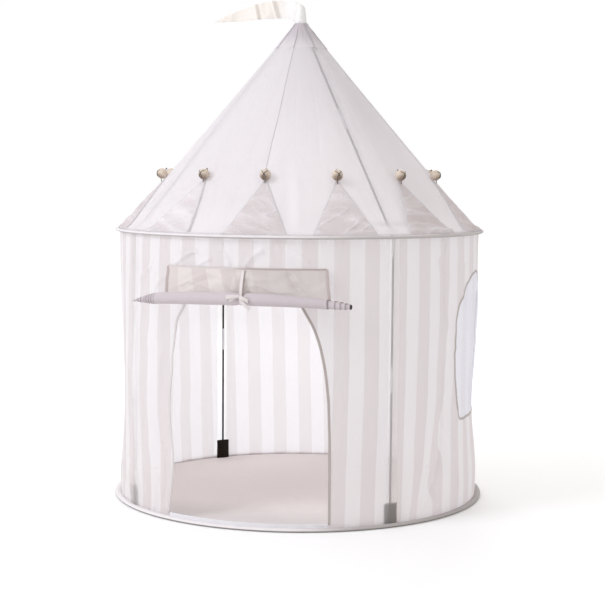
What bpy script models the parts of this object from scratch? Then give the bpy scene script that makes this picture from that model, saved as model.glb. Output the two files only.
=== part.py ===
"""A round play tent for children: a striped wall between two hoops, a cone roof on four jointed poles,
a door that is rolled up and tied, two net windows, twelve bunting triangles with beads, and a flag.

The origin is the middle of the groundsheet's underside. +Z is up and the door faces -Y.
An azimuth is measured about the tent's axis, from 0 at the door (-Y) towards +X."""

import math

import bmesh
import bpy
from mathutils import Matrix, Vector
from mathutils.geometry import delaunay_2d_cdt

# Overall sizes, in metres
BASE_RADIUS = 0.500
RING_HEIGHT = 0.716
CROWN_HEIGHT = 1.2655
CROWN_RADIUS = 0.0146

# Cloth and clearances
CLOTH = 0.0020
THIN_CLOTH = 0.0012
GAP = 0.0003
OVERRUN = 0.100
MERGE = 0.00002

# Sleeves sewn round the two hoops, and the hoops' wires
BASE_SLEEVE_WIDTH = 0.0152
BASE_SLEEVE_HEIGHT = 0.0095
TOP_SLEEVE_WIDTH = 0.0117
TOP_SLEEVE_HEIGHT = 0.0080
SLEEVE_CLOTH = 0.0012
SLEEVE_ROUNDING = 0.0016
BASE_WIRE_RADIUS = 0.0030
TOP_WIRE_RADIUS = 0.0024

# The wall's waist between the poles, and its folds
WAIST_DEPTH = 0.0130
WAIST_HEIGHT = 0.260
FOLD_DEPTH = 0.0030

# The roof's flare above the hoop, and its sag between the poles
FLARE_WIDTH = 0.0148
FLARE_HEIGHT = 0.0100
ROOF_SAG = 0.0040

# Door opening, an arch: sizes along the middle of its edge binding
DOOR_WIDTH = 0.412
DOOR_SILL = 0.0150
DOOR_SPRING = 0.330
DOOR_TOP = 0.632
DOOR_BINDING_RADIUS = 0.0028

# Windows, each an arch with rounded lower corners
WINDOW_WIDTH = 0.302
WINDOW_BOTTOM = 0.234
WINDOW_SPRING = 0.435
WINDOW_TOP = 0.616
WINDOW_CORNER = 0.032
WINDOW_BINDING_RADIUS = 0.0024
BINDING_CLEARANCE = 3 * GAP
NET_THICKNESS = 0.0012
NET_STRAND = 0.0060

# Door panel: the part that hangs from its seam, and the part that is rolled up
FLAP_TOP = 0.6420
FLAP_TOP_WIDTH = 0.412
FLAP_BOTTOM_WIDTH = 0.420
ROLL_HEIGHT = 0.568
ROLL_STANDOFF = 0.0300
ROLL_RADIUS = 0.0145
ROLL_CORE_RADIUS = 0.0040
ROLL_CLOTH = 0.0006
ROLL_OUTER_WIDTH = 0.440
ROLL_INNER_WIDTH = 0.558
ROLL_TURNS = 9

# Ribbon that ties the rolled door, and its bow
RIBBON_WIDTH = 0.0080
RIBBON_THICKNESS = 0.0008
RIBBON_OFFSET = 0.0120
RIBBON_TOP_DROP = 0.0030
RIBBON_BACK_SHARE = 0.73
RIBBON_BACK_CLEARANCE = 2 * GAP
BOW_LOOP_LENGTH = 0.0260
BOW_LOOP_RISE = 0.0050
BOW_TAIL_LENGTH = 0.0240
BOW_KNOT_RADIUS = 0.0042

# Poles: fibreglass rods, metal ferrules and bent metal elbows
ROD_RADIUS = 0.0028
FERRULE_RADIUS = 0.0042
FERRULE_LENGTH = 0.0640
FERRULE_CRIMP_DEPTH = 0.0005
FERRULE_CRIMP_WIDTH = 0.0050
WALL_FERRULE_SHARE = 0.508
ROOF_FERRULE_SHARE = 0.527
ELBOW_LEG = 0.0450
ELBOW_BEND_RADIUS = 0.0180
ELBOW_SOCKET = 0.0240
SOCKET_RADIUS = 0.0046

# Pockets that hold the poles' feet
POCKET_WIDTH = 0.0390
POCKET_HEIGHT = 0.0540
POCKET_WALL = 0.0015
POCKET_FLOOR = 0.0040
POCKET_ROUNDING = 0.0012

# Crown hub, with four sockets and the mast that carries the flag
HUB_RADIUS = 0.0125
HUB_LENGTH = 0.0240
HUB_DROP = 0.0020
HUB_SOCKET_START = 0.0160
HUB_SOCKET_LENGTH = 0.0300
HUB_SOCKET_DEPTH = 0.0200
MAST_RADIUS = 0.0040
MAST_LENGTH = 0.0500

# Flag: a pennant with a sleeve that slips over the mast
FLAG_LENGTH = 0.2450
FLAG_HEIGHT = 0.0530
FLAG_RISE = 0.0170
FLAG_WAVE = 0.0040
FLAG_SLEEVE_RADIUS = 0.0150
FLAG_SLEEVE_TOP_RADIUS = 0.0085
FLAG_SLEEVE_CLEARANCE = 0.0013
FLAG_SLEEVE_CAP = 0.0060

# Bunting: triangles on a tape, the cord at each tip, and the bead that it holds
TAPE_WIDTH = 0.0060
TAPE_RISE = 0.0015
PENNANT_WIDTH = 0.152
PENNANT_HEIGHT = 0.1475
PENNANT_TIP_WIDTH = 0.0080
BEAD_RADIUS = 0.0140
BEAD_BORE_RADIUS = 0.0024
BEAD_CORD_WIDTH = 0.0020
BEAD_CORD_SLACK = 0.0016
BEAD_KNOT_WIDTH = 0.0060
BEAD_KNOT_LENGTH = 0.0030

# Counts
WALL_SIDES = 64
WALL_ROWS = 8
HOOP_SIDES = 48
WIRE_SIDES = 6
ROD_SIDES = 8
BEAD_SIDES = 8
BEAD_RINGS = 6
PANELS = 4
FOLDS = 16
NET_COLUMNS = 8
NET_ROWS = 10
PENNANTS = 12
PENNANT_COLUMNS = 4
PENNANT_ROWS = 2
PENNANT_GAP_COLUMNS = 4
ARCH_STEPS = 20
LEG_STEPS = 6
CORNER_STEPS = 3
BEND_STEPS = 4
TUBE_RESOLUTION = 1
ELBOW_RESOLUTION = 2
POCKET_BEVEL_STEPS = 1
FLAP_COLUMNS = 12
FLAP_ROWS = 3
ROLL_SIDES = 14
RIBBON_TURN_STEPS = 14
BOW_STEPS = 9
BOW_TAIL_STEPS = 2
KNOT_SIDES = 8
KNOT_RINGS = 6
FLAG_ROWS = 3

# Shares: rows of the roof from eave to crown, and the flag's outline from its tip to its mast
ROOF_ROW_SHARES = (0.0, 0.11, 0.22, 0.58, 1.0)
WAIST_POWER = 4
FLAG_PLACE_SHARES = (0.0, 0.095, 0.224, 0.44, 0.652, 0.813, 0.897, 1.0)
FLAG_HEIGHT_SHARES = (0.06, 0.24, 0.48, 0.75, 0.885, 1.0, 0.93, 0.80)
FLAG_DROP_SHARES = (0.09, 0.08, 0.07, 0.04, 0.0, 0.0, 0.05, 0.05)
FLAG_WAVES = 1.5
BOW_FAT_SHARE = 0.42
BOW_GAP_SHARE = 0.06
BOW_TAIL_SPLAY_SHARE = 0.35
SHARP_ANGLE = math.radians(40)
WITHIN_OUTLINE = 1
BUNTING_SHIFT_SHARES = (0.10, 0.02, -0.03, 0.0, 0.05, -0.06, 0.03, -0.04, 0.06, 0.0, -0.05, 0.20)

# What follows from the sizes above
QUARTER = 2 * math.pi / PANELS
WALL_RADIUS = BASE_RADIUS - BASE_SLEEVE_WIDTH - GAP - CLOTH / 2
RING_RADIUS = WALL_RADIUS + CLOTH / 2 + GAP + TOP_SLEEVE_WIDTH
WALL_FOOT = CLOTH + GAP
WALL_TOP = RING_HEIGHT + TOP_SLEEVE_HEIGHT / 2 - GAP
EAVE_HEIGHT = WALL_TOP + GAP + CLOTH / 2
CONE_HEIGHT = EAVE_HEIGHT + FLARE_HEIGHT
CONE_RADIUS = WALL_RADIUS - FLARE_WIDTH
CONE_SLOPE = (CONE_RADIUS - CROWN_RADIUS) / (CROWN_HEIGHT - CONE_HEIGHT)
CONE_ANGLE = math.atan(CONE_SLOPE)
CONE_TIP = CROWN_HEIGHT + CROWN_RADIUS / CONE_SLOPE


def round_bore(clear_radius, sides):
    """The corner radius of a bore of flat sides that leaves clear_radius free inside."""
    return clear_radius / math.cos(math.pi / sides)


def chord_sag(radius, sides):
    """How far a flat side of a many-sided ring falls inside the true circle."""
    return radius * (1 - math.cos(math.pi / sides))


BORE_RADIUS = round_bore(ROD_RADIUS + GAP, ROD_SIDES)
POCKET_FACE = math.sqrt(
    (WALL_RADIUS - CLOTH / 2 - GAP - chord_sag(WALL_RADIUS, WALL_SIDES)) ** 2 - (POCKET_WIDTH / 2) ** 2
)
POLE_CIRCLE = POCKET_FACE - POCKET_WALL - BORE_RADIUS
POLE_OFFSET = CLOTH / 2 + GAP + SOCKET_RADIUS + GAP
ELBOW_HEIGHT = CONE_TIP - (POLE_CIRCLE + POLE_OFFSET / math.cos(CONE_ANGLE)) / CONE_SLOPE
POLE_TIP = CONE_TIP - POLE_OFFSET / math.sin(CONE_ANGLE)
FLAP_RADIUS = WALL_RADIUS + CLOTH / 2 + GAP + THIN_CLOTH / 2 + chord_sag(WALL_RADIUS, WALL_SIDES)
HINGE_Y = -FLAP_RADIUS
ROLL_Y = -(WALL_RADIUS + ROLL_STANDOFF)
HUB_TOP = CROWN_HEIGHT - HUB_DROP
MAST_TOP = HUB_TOP + MAST_LENGTH
POCKET_FOOT = CLOTH + GAP

FINISHES = {
    "wall": ((0.86, 0.82, 0.80), 0.0, 0.85),
    "roof": ((0.88, 0.85, 0.86), 0.0, 0.85),
    "floor": ((0.72, 0.62, 0.58), 0.0, 0.80),
    "binding": ((0.55, 0.49, 0.47), 0.0, 0.80),
    "net": ((0.86, 0.86, 0.89), 0.0, 0.80),
    "sleeve": ((0.66, 0.63, 0.62), 0.0, 0.80),
    "wire": ((0.55, 0.56, 0.58), 1.0, 0.40),
    "rod": ((0.02, 0.02, 0.02), 0.0, 0.35),
    "metal": ((0.72, 0.72, 0.73), 1.0, 0.35),
    "pocket": ((0.03, 0.03, 0.03), 0.0, 0.80),
    "plastic": ((0.10, 0.10, 0.10), 0.0, 0.50),
    "wood": ((0.70, 0.56, 0.42), 0.0, 0.50),
    "flag": ((0.93, 0.90, 0.84), 0.0, 0.85),
}


def clear_scene():
    """Remove whatever objects the file opens with."""
    for obj in list(bpy.data.objects):
        bpy.data.objects.remove(obj, do_unlink=True)


def new_collection(name):
    collection = bpy.data.collections.new(name)
    bpy.context.scene.collection.children.link(collection)
    return collection


def paint(obj, finish):
    """Give an object its own plain material."""
    color, metallic, roughness = FINISHES[finish]
    material = bpy.data.materials.new(obj.name)
    material.use_nodes = True
    shader = material.node_tree.nodes["Principled BSDF"]
    shader.inputs["Base Color"].default_value = (*color, 1.0)
    shader.inputs["Metallic"].default_value = metallic
    shader.inputs["Roughness"].default_value = roughness
    obj.data.materials.clear()
    obj.data.materials.append(material)
    return obj


def shade_round(obj):
    """Smooth shading that keeps real corners sharp."""
    obj.data.shade_smooth()
    obj.data.set_sharp_from_angle(angle=SHARP_ANGLE)
    return obj


def mesh_object(name, bm, collection):
    mesh = bpy.data.meshes.new(name)
    bm.to_mesh(mesh)
    bm.free()
    obj = bpy.data.objects.new(name, mesh)
    collection.objects.link(obj)
    return obj


def move_to(obj, collection):
    for old in list(obj.users_collection):
        old.objects.unlink(obj)
    collection.objects.link(obj)


def hide_cutter(obj):
    obj.hide_render = True
    obj.display_type = "WIRE"
    return obj


def polar(radius, azimuth, height):
    return Vector((radius * math.sin(azimuth), -radius * math.cos(azimuth), height))


def thicken(obj, thickness):
    solid = obj.modifiers.new("thickness", "SOLIDIFY")
    solid.thickness = thickness
    solid.offset = 0.0
    return solid


def cut(obj, cutter, operation="DIFFERENCE"):
    boolean = obj.modifiers.new("cut", "BOOLEAN")
    boolean.operation = operation
    boolean.solver = "EXACT"
    boolean.object = cutter
    return boolean


def sheet(name, columns, rows, place, thickness, collection):
    """A sheet of cloth: a grid whose points place(across, up) puts in space, each from 0 to 1."""
    bm = bmesh.new()
    bmesh.ops.create_grid(bm, x_segments=columns, y_segments=rows, size=0.5)
    for vertex in bm.verts:
        vertex.co = place(vertex.co.x + 0.5, vertex.co.y + 0.5)
    obj = shade_round(mesh_object(name, bm, collection))
    thicken(obj, thickness)
    return obj


def turned(name, profile, sides, collection, closed):
    """A profile of (radius, height) points, top to bottom on its outer side, turned about Z."""
    bm = bmesh.new()
    corners = [bm.verts.new((radius, 0.0, height)) for radius, height in profile]
    for first, second in zip(corners, corners[1:]):
        bm.edges.new((first, second))
    if closed:
        bm.edges.new((corners[-1], corners[0]))
    obj = mesh_object(name, bm, collection)
    screw = obj.modifiers.new("turn", "SCREW")
    screw.axis = "Z"
    screw.steps = sides
    screw.render_steps = sides
    screw.use_merge_vertices = True
    screw.merge_threshold = MERGE
    return obj


def tube(name, points, radius, resolution, collection, radii=None, closed=False):
    """A round tube along points, with filled ends where it is open."""
    curve = bpy.data.curves.new(name, "CURVE")
    curve.dimensions = "3D"
    curve.bevel_depth = radius
    curve.bevel_resolution = resolution
    curve.use_fill_caps = not closed
    spline = curve.splines.new("POLY")
    spline.points.add(len(points) - 1)
    for index, point in enumerate(points):
        spline.points[index].co = (*point, 1.0)
        spline.points[index].radius = radii[index] if radii else 1.0
    spline.use_cyclic_u = closed
    obj = bpy.data.objects.new(name, curve)
    collection.objects.link(obj)
    return obj


def as_mesh(obj, collection):
    """Turn a curve object into a mesh with welded ends, so that it can be cut or joined."""
    bpy.context.view_layer.update()
    graph = bpy.context.evaluated_depsgraph_get()
    mesh = bpy.data.meshes.new_from_object(obj.evaluated_get(graph))
    bm = bmesh.new()
    bm.from_mesh(mesh)
    bmesh.ops.remove_doubles(bm, verts=bm.verts, dist=MERGE)
    bmesh.ops.recalc_face_normals(bm, faces=bm.faces)
    bm.to_mesh(mesh)
    bm.free()
    solid = bpy.data.objects.new(obj.name, mesh)
    solid.matrix_world = obj.matrix_world
    name = obj.name
    bpy.data.objects.remove(obj, do_unlink=True)
    solid.name = name
    collection.objects.link(solid)
    return shade_round(solid)


def rod_between(name, start, end, radius, sides, collection):
    """A straight round bar from start to end."""
    direction = end - start
    bpy.ops.mesh.primitive_cylinder_add(
        vertices=sides, radius=radius, depth=direction.length, location=(start + end) / 2
    )
    obj = bpy.context.object
    obj.name = name
    obj.data.name = name
    obj.rotation_euler = direction.to_track_quat("Z", "Y").to_euler()
    move_to(obj, collection)
    return shade_round(obj)


def flat_outline(name, points, depth, collection):
    """A flat outline in X and Z, filled, with half of depth on each side along Y."""
    curve = bpy.data.curves.new(name, "CURVE")
    curve.dimensions = "2D"
    curve.fill_mode = "BOTH"
    curve.extrude = depth / 2
    spline = curve.splines.new("POLY")
    spline.points.add(len(points) - 1)
    for index, (across, up) in enumerate(points):
        spline.points[index].co = (across, up, 0.0, 1.0)
    spline.use_cyclic_u = True
    obj = bpy.data.objects.new(name, curve)
    obj.rotation_euler = (math.pi / 2, 0.0, 0.0)
    collection.objects.link(obj)
    return as_mesh(obj, collection)


def hang_on(obj, parent):
    """Parent an object that was built in place, keeping its place and taking the parent's origin."""
    bpy.context.view_layer.update()
    into_parent = parent.matrix_world.inverted() @ obj.matrix_world
    obj.data.transform(into_parent)
    obj.matrix_world = Matrix.Identity(4)
    obj.parent = parent


def empty(name, location, collection, turn=0.0):
    obj = bpy.data.objects.new(name, None)
    obj.location = location
    obj.rotation_euler = (0.0, 0.0, turn)
    collection.objects.link(obj)
    return obj


def between_poles(azimuth):
    """1 midway between two poles and 0 at a pole."""
    return (1 + math.cos(PANELS * azimuth)) / 2


def wall_radius(azimuth, height):
    """The middle of the wall's cloth, with its waist and folds."""
    if height < WAIST_HEIGHT:
        place = height / WAIST_HEIGHT / 2
    else:
        place = (1 + (height - WAIST_HEIGHT) / (WALL_TOP - WAIST_HEIGHT)) / 2
    slack = max(0.0, math.sin(math.pi * min(max(place, 0.0), 1.0))) ** WAIST_POWER
    fold = FOLD_DEPTH * slack * math.cos(FOLDS * azimuth)
    return WALL_RADIUS - WAIST_DEPTH * slack * between_poles(azimuth) + fold


def roof_point(azimuth, share, lift=0.0):
    """A point on the middle of the roof's cloth, from eave (0) to crown (1), lifted off it by lift."""
    radius = CONE_RADIUS + (CROWN_RADIUS - CONE_RADIUS) * share
    height = CONE_HEIGHT + (CROWN_HEIGHT - CONE_HEIGHT) * share
    radius -= ROOF_SAG * between_poles(azimuth) * math.sin(math.pi * share)
    radius += lift * math.cos(CONE_ANGLE)
    height += lift * math.sin(CONE_ANGLE)
    return polar(radius, azimuth, height)


def on_wall(across, height, facing):
    """The place on the wall's middle of a point across metres from the middle of a side."""
    azimuth = math.asin(max(-1.0, min(1.0, across / WALL_RADIUS)))
    radius = wall_radius(facing + azimuth, height)
    azimuth = math.asin(max(-1.0, min(1.0, across / radius)))
    return polar(radius, facing + azimuth, height)


def arch(half_width, spring, top):
    """The round head of an arch, from its left spring to its right one, in X and Z."""
    points = []
    for step in range(ARCH_STEPS + 1):
        angle = math.pi * (1 - step / ARCH_STEPS)
        points.append((half_width * math.cos(angle), spring + (top - spring) * math.sin(angle)))
    return points


def steps_between(start, end, count):
    return [start + (end - start) * step / count for step in range(count)]


def door_path(grow=0.0):
    """The door arch from its left foot over to its right foot, grown outwards by grow."""
    half = DOOR_WIDTH / 2 + grow
    left = [(-half, height) for height in steps_between(DOOR_SILL - grow, DOOR_SPRING, LEG_STEPS)]
    right = [(half, height) for height in reversed(steps_between(DOOR_SILL - grow, DOOR_SPRING, LEG_STEPS))]
    return left + arch(half, DOOR_SPRING, DOOR_TOP + grow) + right


def window_path(grow=0.0):
    """The closed outline of a window, grown outwards by grow."""
    half = WINDOW_WIDTH / 2 + grow
    corner = WINDOW_CORNER + grow
    low = WINDOW_BOTTOM - grow + corner
    points = arch(half, WINDOW_SPRING, WINDOW_TOP + grow)
    for side, start in ((1, 0.0), (-1, math.pi / 2)):
        legs = [(half, height) for height in steps_between(WINDOW_SPRING, low, LEG_STEPS)][1:]
        if side > 0:
            points += legs
        for step in range(CORNER_STEPS + 1):
            angle = start + math.pi / 2 * step / CORNER_STEPS
            across = side * (half - corner) + corner * math.cos(angle)
            points.append((across, low - corner * math.sin(angle)))
        if side < 0:
            points += [(-across, height) for across, height in reversed(legs)]
    return points


def sleeve_profile(inner, outer, low, high):
    """A folded sleeve, open towards the tent's axis, with rounded outer edges."""
    inside = SLEEVE_CLOTH
    return [
        (inner, high),
        (outer - SLEEVE_ROUNDING, high),
        (outer, high - SLEEVE_ROUNDING),
        (outer, low + SLEEVE_ROUNDING),
        (outer - SLEEVE_ROUNDING, low),
        (inner, low),
        (inner, low + inside),
        (outer - inside, low + inside),
        (outer - inside, high - inside),
        (inner, high - inside),
    ]


def build_hoops(part):
    """The wire hoops in their sewn sleeves, and the groundsheet."""
    inner = WALL_RADIUS + CLOTH / 2 + GAP
    profile = sleeve_profile(inner, BASE_RADIUS, 0.0, BASE_SLEEVE_HEIGHT)
    paint(turned("base_sleeve", profile, WALL_SIDES, part, True), "sleeve")
    low = RING_HEIGHT - TOP_SLEEVE_HEIGHT / 2
    profile = sleeve_profile(inner, RING_RADIUS, low, low + TOP_SLEEVE_HEIGHT)
    paint(turned("top_sleeve", profile, WALL_SIDES, part, True), "sleeve")
    hoops = (
        ("base_hoop", BASE_RADIUS, BASE_WIRE_RADIUS, SLEEVE_CLOTH + GAP + BASE_WIRE_RADIUS),
        ("top_hoop", RING_RADIUS, TOP_WIRE_RADIUS, RING_HEIGHT),
    )
    for name, outer, wire, height in hoops:
        major = (outer - SLEEVE_CLOTH - GAP - wire) - chord_sag(outer, WALL_SIDES)
        bpy.ops.mesh.primitive_torus_add(
            major_segments=HOOP_SIDES,
            minor_segments=WIRE_SIDES,
            major_radius=major,
            minor_radius=wire,
            location=(0.0, 0.0, height),
        )
        hoop = bpy.context.object
        hoop.name = name
        move_to(hoop, part)
        paint(shade_round(hoop), "wire")
    bm = bmesh.new()
    bmesh.ops.create_cone(
        bm,
        cap_ends=True,
        segments=WALL_SIDES,
        radius1=inner - GAP,
        radius2=inner - GAP,
        depth=CLOTH,
        matrix=Matrix.Translation((0.0, 0.0, CLOTH / 2)),
    )
    paint(shade_round(mesh_object("floor_sheet", bm, part)), "floor")


def build_wall(part, cutters):
    """Four wall panels, seamed at the poles, the front one with the door and two with windows."""
    door_cut = DOOR_BINDING_RADIUS + BINDING_CLEARANCE
    door = flat_outline("door_cutter", door_path(door_cut), 2 * OVERRUN, cutters)
    door.location = (0.0, -WALL_RADIUS, 0.0)
    window_cut = WINDOW_BINDING_RADIUS + BINDING_CLEARANCE
    windows = {}
    for side, turn in (("right", 1), ("left", -1)):
        window = flat_outline("window_cutter_" + side, window_path(window_cut), 2 * OVERRUN, cutters)
        window.rotation_euler = (math.pi / 2, 0.0, math.pi / 2)
        window.location = (turn * WALL_RADIUS, 0.0, 0.0)
        windows[side] = hide_cutter(window)
    openings = {"front": hide_cutter(door), **windows}
    seam = GAP / 2 / (WALL_RADIUS - WAIST_DEPTH - FOLD_DEPTH)
    for number, side in enumerate(("front", "right", "back", "left")):
        start = (number - 0.5) * QUARTER + seam
        width = QUARTER - 2 * seam

        def place(across, up):
            azimuth = start + width * across
            height = WALL_FOOT + (WALL_TOP - WALL_FOOT) * up
            return polar(wall_radius(azimuth, height), azimuth, height)

        panel = sheet("wall_" + side, WALL_SIDES // PANELS, WALL_ROWS, place, CLOTH, part)
        if side in openings:
            cut(panel, openings[side])
        paint(panel, "wall")


def build_bindings(part):
    """The tape round the door and windows, and the windows' nets."""
    points = [on_wall(across, height, 0.0) for across, height in door_path()]
    binding = tube("door_binding", points, DOOR_BINDING_RADIUS, TUBE_RESOLUTION, part)
    paint(binding, "binding")
    for side, facing in (("right", QUARTER), ("left", -QUARTER)):
        points = [on_wall(across, height, facing) for across, height in window_path()]
        name = "window_binding_" + side
        binding = tube(name, points, WINDOW_BINDING_RADIUS, TUBE_RESOLUTION, part, closed=True)
        paint(binding, "binding")
        build_net(side, facing, part)


def loop_of(first, count):
    """The edges of a closed loop of points, numbered from first."""
    return [(first + index, first + (index + 1) % count) for index in range(count)]


def build_net(side, facing, part):
    """A window net: a sheet with rows of gaps inside its hem, laid out flat and bent to the wall."""
    trim = WINDOW_BINDING_RADIUS + BINDING_CLEARANCE
    hem = trim + NET_STRAND
    half = WINDOW_WIDTH / 2 - hem
    bottom = WINDOW_BOTTOM + hem
    corner = WINDOW_CORNER - hem
    cell_width = 2 * half / NET_COLUMNS
    cell_height = (WINDOW_TOP - hem - bottom) / NET_ROWS

    def inside(across, up):
        """Whether a point of the net lies inside its hem."""
        if up > WINDOW_SPRING:
            rise = (up - WINDOW_SPRING) / (WINDOW_TOP - hem - WINDOW_SPRING)
            return (across / half) ** 2 + rise**2 < 1
        if up < bottom + corner and abs(across) > half - corner:
            return math.hypot(abs(across) - (half - corner), up - bottom - corner) < corner
        return True

    points = window_path(-trim)
    edges = loop_of(0, len(points))
    gaps = []
    for row in range(NET_ROWS):
        for column in range(NET_COLUMNS):
            left = column * cell_width - half + NET_STRAND / 2
            right = left + cell_width - NET_STRAND
            low = row * cell_height + bottom + NET_STRAND / 2
            high = low + cell_height - NET_STRAND
            corners = [(left, low), (right, low), (right, high), (left, high)]
            if all(inside(*point) for point in corners):
                first = len(points)
                points += corners
                edges += loop_of(first, len(corners))
                gaps.append((left, right, low, high))
    flat = [Vector(point) for point in points]
    laid, laid_edges, triangles, *origins = delaunay_2d_cdt(flat, edges, [], WITHIN_OUTLINE, MERGE)
    bm = bmesh.new()
    placed = [bm.verts.new(on_wall(point.x, point.y, facing)) for point in laid]
    for triangle in triangles:
        middle = sum((laid[index] for index in triangle), Vector((0.0, 0.0))) / len(triangle)
        if not any(left < middle.x < right and low < middle.y < high for left, right, low, high in gaps):
            bm.faces.new([placed[index] for index in triangle])
    net = shade_round(mesh_object("window_net_" + side, bm, part))
    thicken(net, NET_THICKNESS)
    paint(net, "net")


def build_roof(part):
    """Four roof gores, seamed midway between the poles."""
    names = ("roof_front_right", "roof_back_right", "roof_back_left", "roof_front_left")
    rows = len(ROOF_ROW_SHARES)
    for number, name in enumerate(names):
        start = number * QUARTER

        def place(across, up):
            row = round(up * rows)
            share = ROOF_ROW_SHARES[max(row - 1, 0)]
            narrow = GAP / 2 / (CROWN_RADIUS + (CONE_RADIUS - CROWN_RADIUS) * (1 - share))
            azimuth = start + narrow + (QUARTER - 2 * narrow) * across
            if row == 0:
                return polar(WALL_RADIUS, azimuth, EAVE_HEIGHT)
            return roof_point(azimuth, share)

        paint(sheet(name, WALL_SIDES // PANELS, rows, place, CLOTH, part), "roof")


def slant_share(distance):
    """The share of the roof's straight slope at a distance up it from the flare."""
    return distance / math.hypot(CONE_RADIUS - CROWN_RADIUS, CROWN_HEIGHT - CONE_HEIGHT)


def build_bunting(part):
    """Cloth triangles on a tape above the hoop, each holding a bead on the cord at its tip."""
    pitch = 2 * math.pi / PENNANTS
    lift = CLOTH / 2 + GAP + THIN_CLOTH / 2 + chord_sag(WALL_RADIUS, WALL_SIDES)
    base = TAPE_RISE + TAPE_WIDTH
    tip = TAPE_RISE + PENNANT_HEIGHT
    axis = CLOTH / 2 + GAP + BEAD_RADIUS
    slack = BEAD_CORD_SLACK
    cord_end = tip + 2 * BEAD_RADIUS + slack
    rungs = [
        (base + (tip - base) * row / PENNANT_ROWS, lift, None)
        for row in range(1, PENNANT_ROWS + 1)
    ]
    rungs += [
        (tip - slack, lift + (axis - lift) / 3, BEAD_CORD_WIDTH),
        (tip - 3 * slack / 2, lift + (axis - lift) * 2 / 3, BEAD_CORD_WIDTH),
        (tip - slack, axis, BEAD_CORD_WIDTH),
        (cord_end, axis, BEAD_CORD_WIDTH),
        (cord_end + slack, axis, BEAD_KNOT_WIDTH),
        (cord_end + slack + BEAD_KNOT_LENGTH, axis, BEAD_KNOT_WIDTH),
    ]
    bm = bmesh.new()
    tape = []
    for number in range(PENNANTS):
        azimuth = (number + BUNTING_SHIFT_SHARES[number]) * pitch
        following = (number + 1 + BUNTING_SHIFT_SHARES[(number + 1) % PENNANTS]) * pitch

        def rung(slope, rise, width):
            radius = (roof_point(azimuth, slant_share(slope)).xy).length
            if width is None:
                taper = (slope - base) / (tip - base)
                width = PENNANT_WIDTH + (PENNANT_TIP_WIDTH - PENNANT_WIDTH) * taper
            spread = width / radius
            shares = [column / PENNANT_COLUMNS - 0.5 for column in range(PENNANT_COLUMNS + 1)]
            places = [roof_point(azimuth + spread * share, slant_share(slope), rise) for share in shares]
            return [bm.verts.new(place) for place in places]

        row = rung(base, lift, None)
        half = PENNANT_WIDTH / 2 / roof_point(azimuth, slant_share(base)).xy.length
        for column in range(PENNANT_COLUMNS + 1):
            turn = half * (2 * column / PENNANT_COLUMNS - 1)
            tape.append((azimuth + turn, row[column]))
        gap = following - azimuth - 2 * half
        for column in range(1, PENNANT_GAP_COLUMNS):
            turn = azimuth + half + gap * column / PENNANT_GAP_COLUMNS
            tape.append((turn, bm.verts.new(roof_point(turn, slant_share(base), lift))))
        for slope, rise, width in rungs:
            above = rung(slope, rise, width)
            for column in range(PENNANT_COLUMNS):
                bm.faces.new((row[column], row[column + 1], above[column + 1], above[column]))
            row = above
        build_bead(number, roof_point(azimuth, slant_share(tip + BEAD_RADIUS), axis), azimuth, part)
    low = [bm.verts.new(roof_point(azimuth, slant_share(TAPE_RISE), lift)) for azimuth, above in tape]
    for index, (azimuth, above) in enumerate(tape):
        beside = (index + 1) % len(tape)
        bm.faces.new((low[index], low[beside], tape[beside][1], above))
    bunting = shade_round(mesh_object("bunting", bm, part))
    thicken(bunting, THIN_CLOTH)
    paint(bunting, "roof")


def build_bead(number, centre, azimuth, part):
    """A round bead whose bore runs up the roof's slope."""
    first = math.asin(BEAD_BORE_RADIUS / BEAD_RADIUS)
    profile = []
    for ring in range(BEAD_RINGS + 1):
        angle = first + (math.pi - 2 * first) * ring / BEAD_RINGS
        profile.append((BEAD_RADIUS * math.sin(angle), BEAD_RADIUS * math.cos(angle)))
    bead = turned(f"bead_{number + 1:02d}", profile, BEAD_SIDES, part, True)
    bead.location = centre
    bead.rotation_euler = (-CONE_ANGLE, 0.0, azimuth)
    paint(bead, "wood")


def flap_middle(height):
    """The flap's distance in front of the tent's axis, halfway along it, at a height."""
    drop = (FLAP_TOP - height) / (FLAP_TOP - ROLL_HEIGHT)
    return HINGE_Y + (ROLL_Y + ROLL_RADIUS - HINGE_Y) * drop


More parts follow.
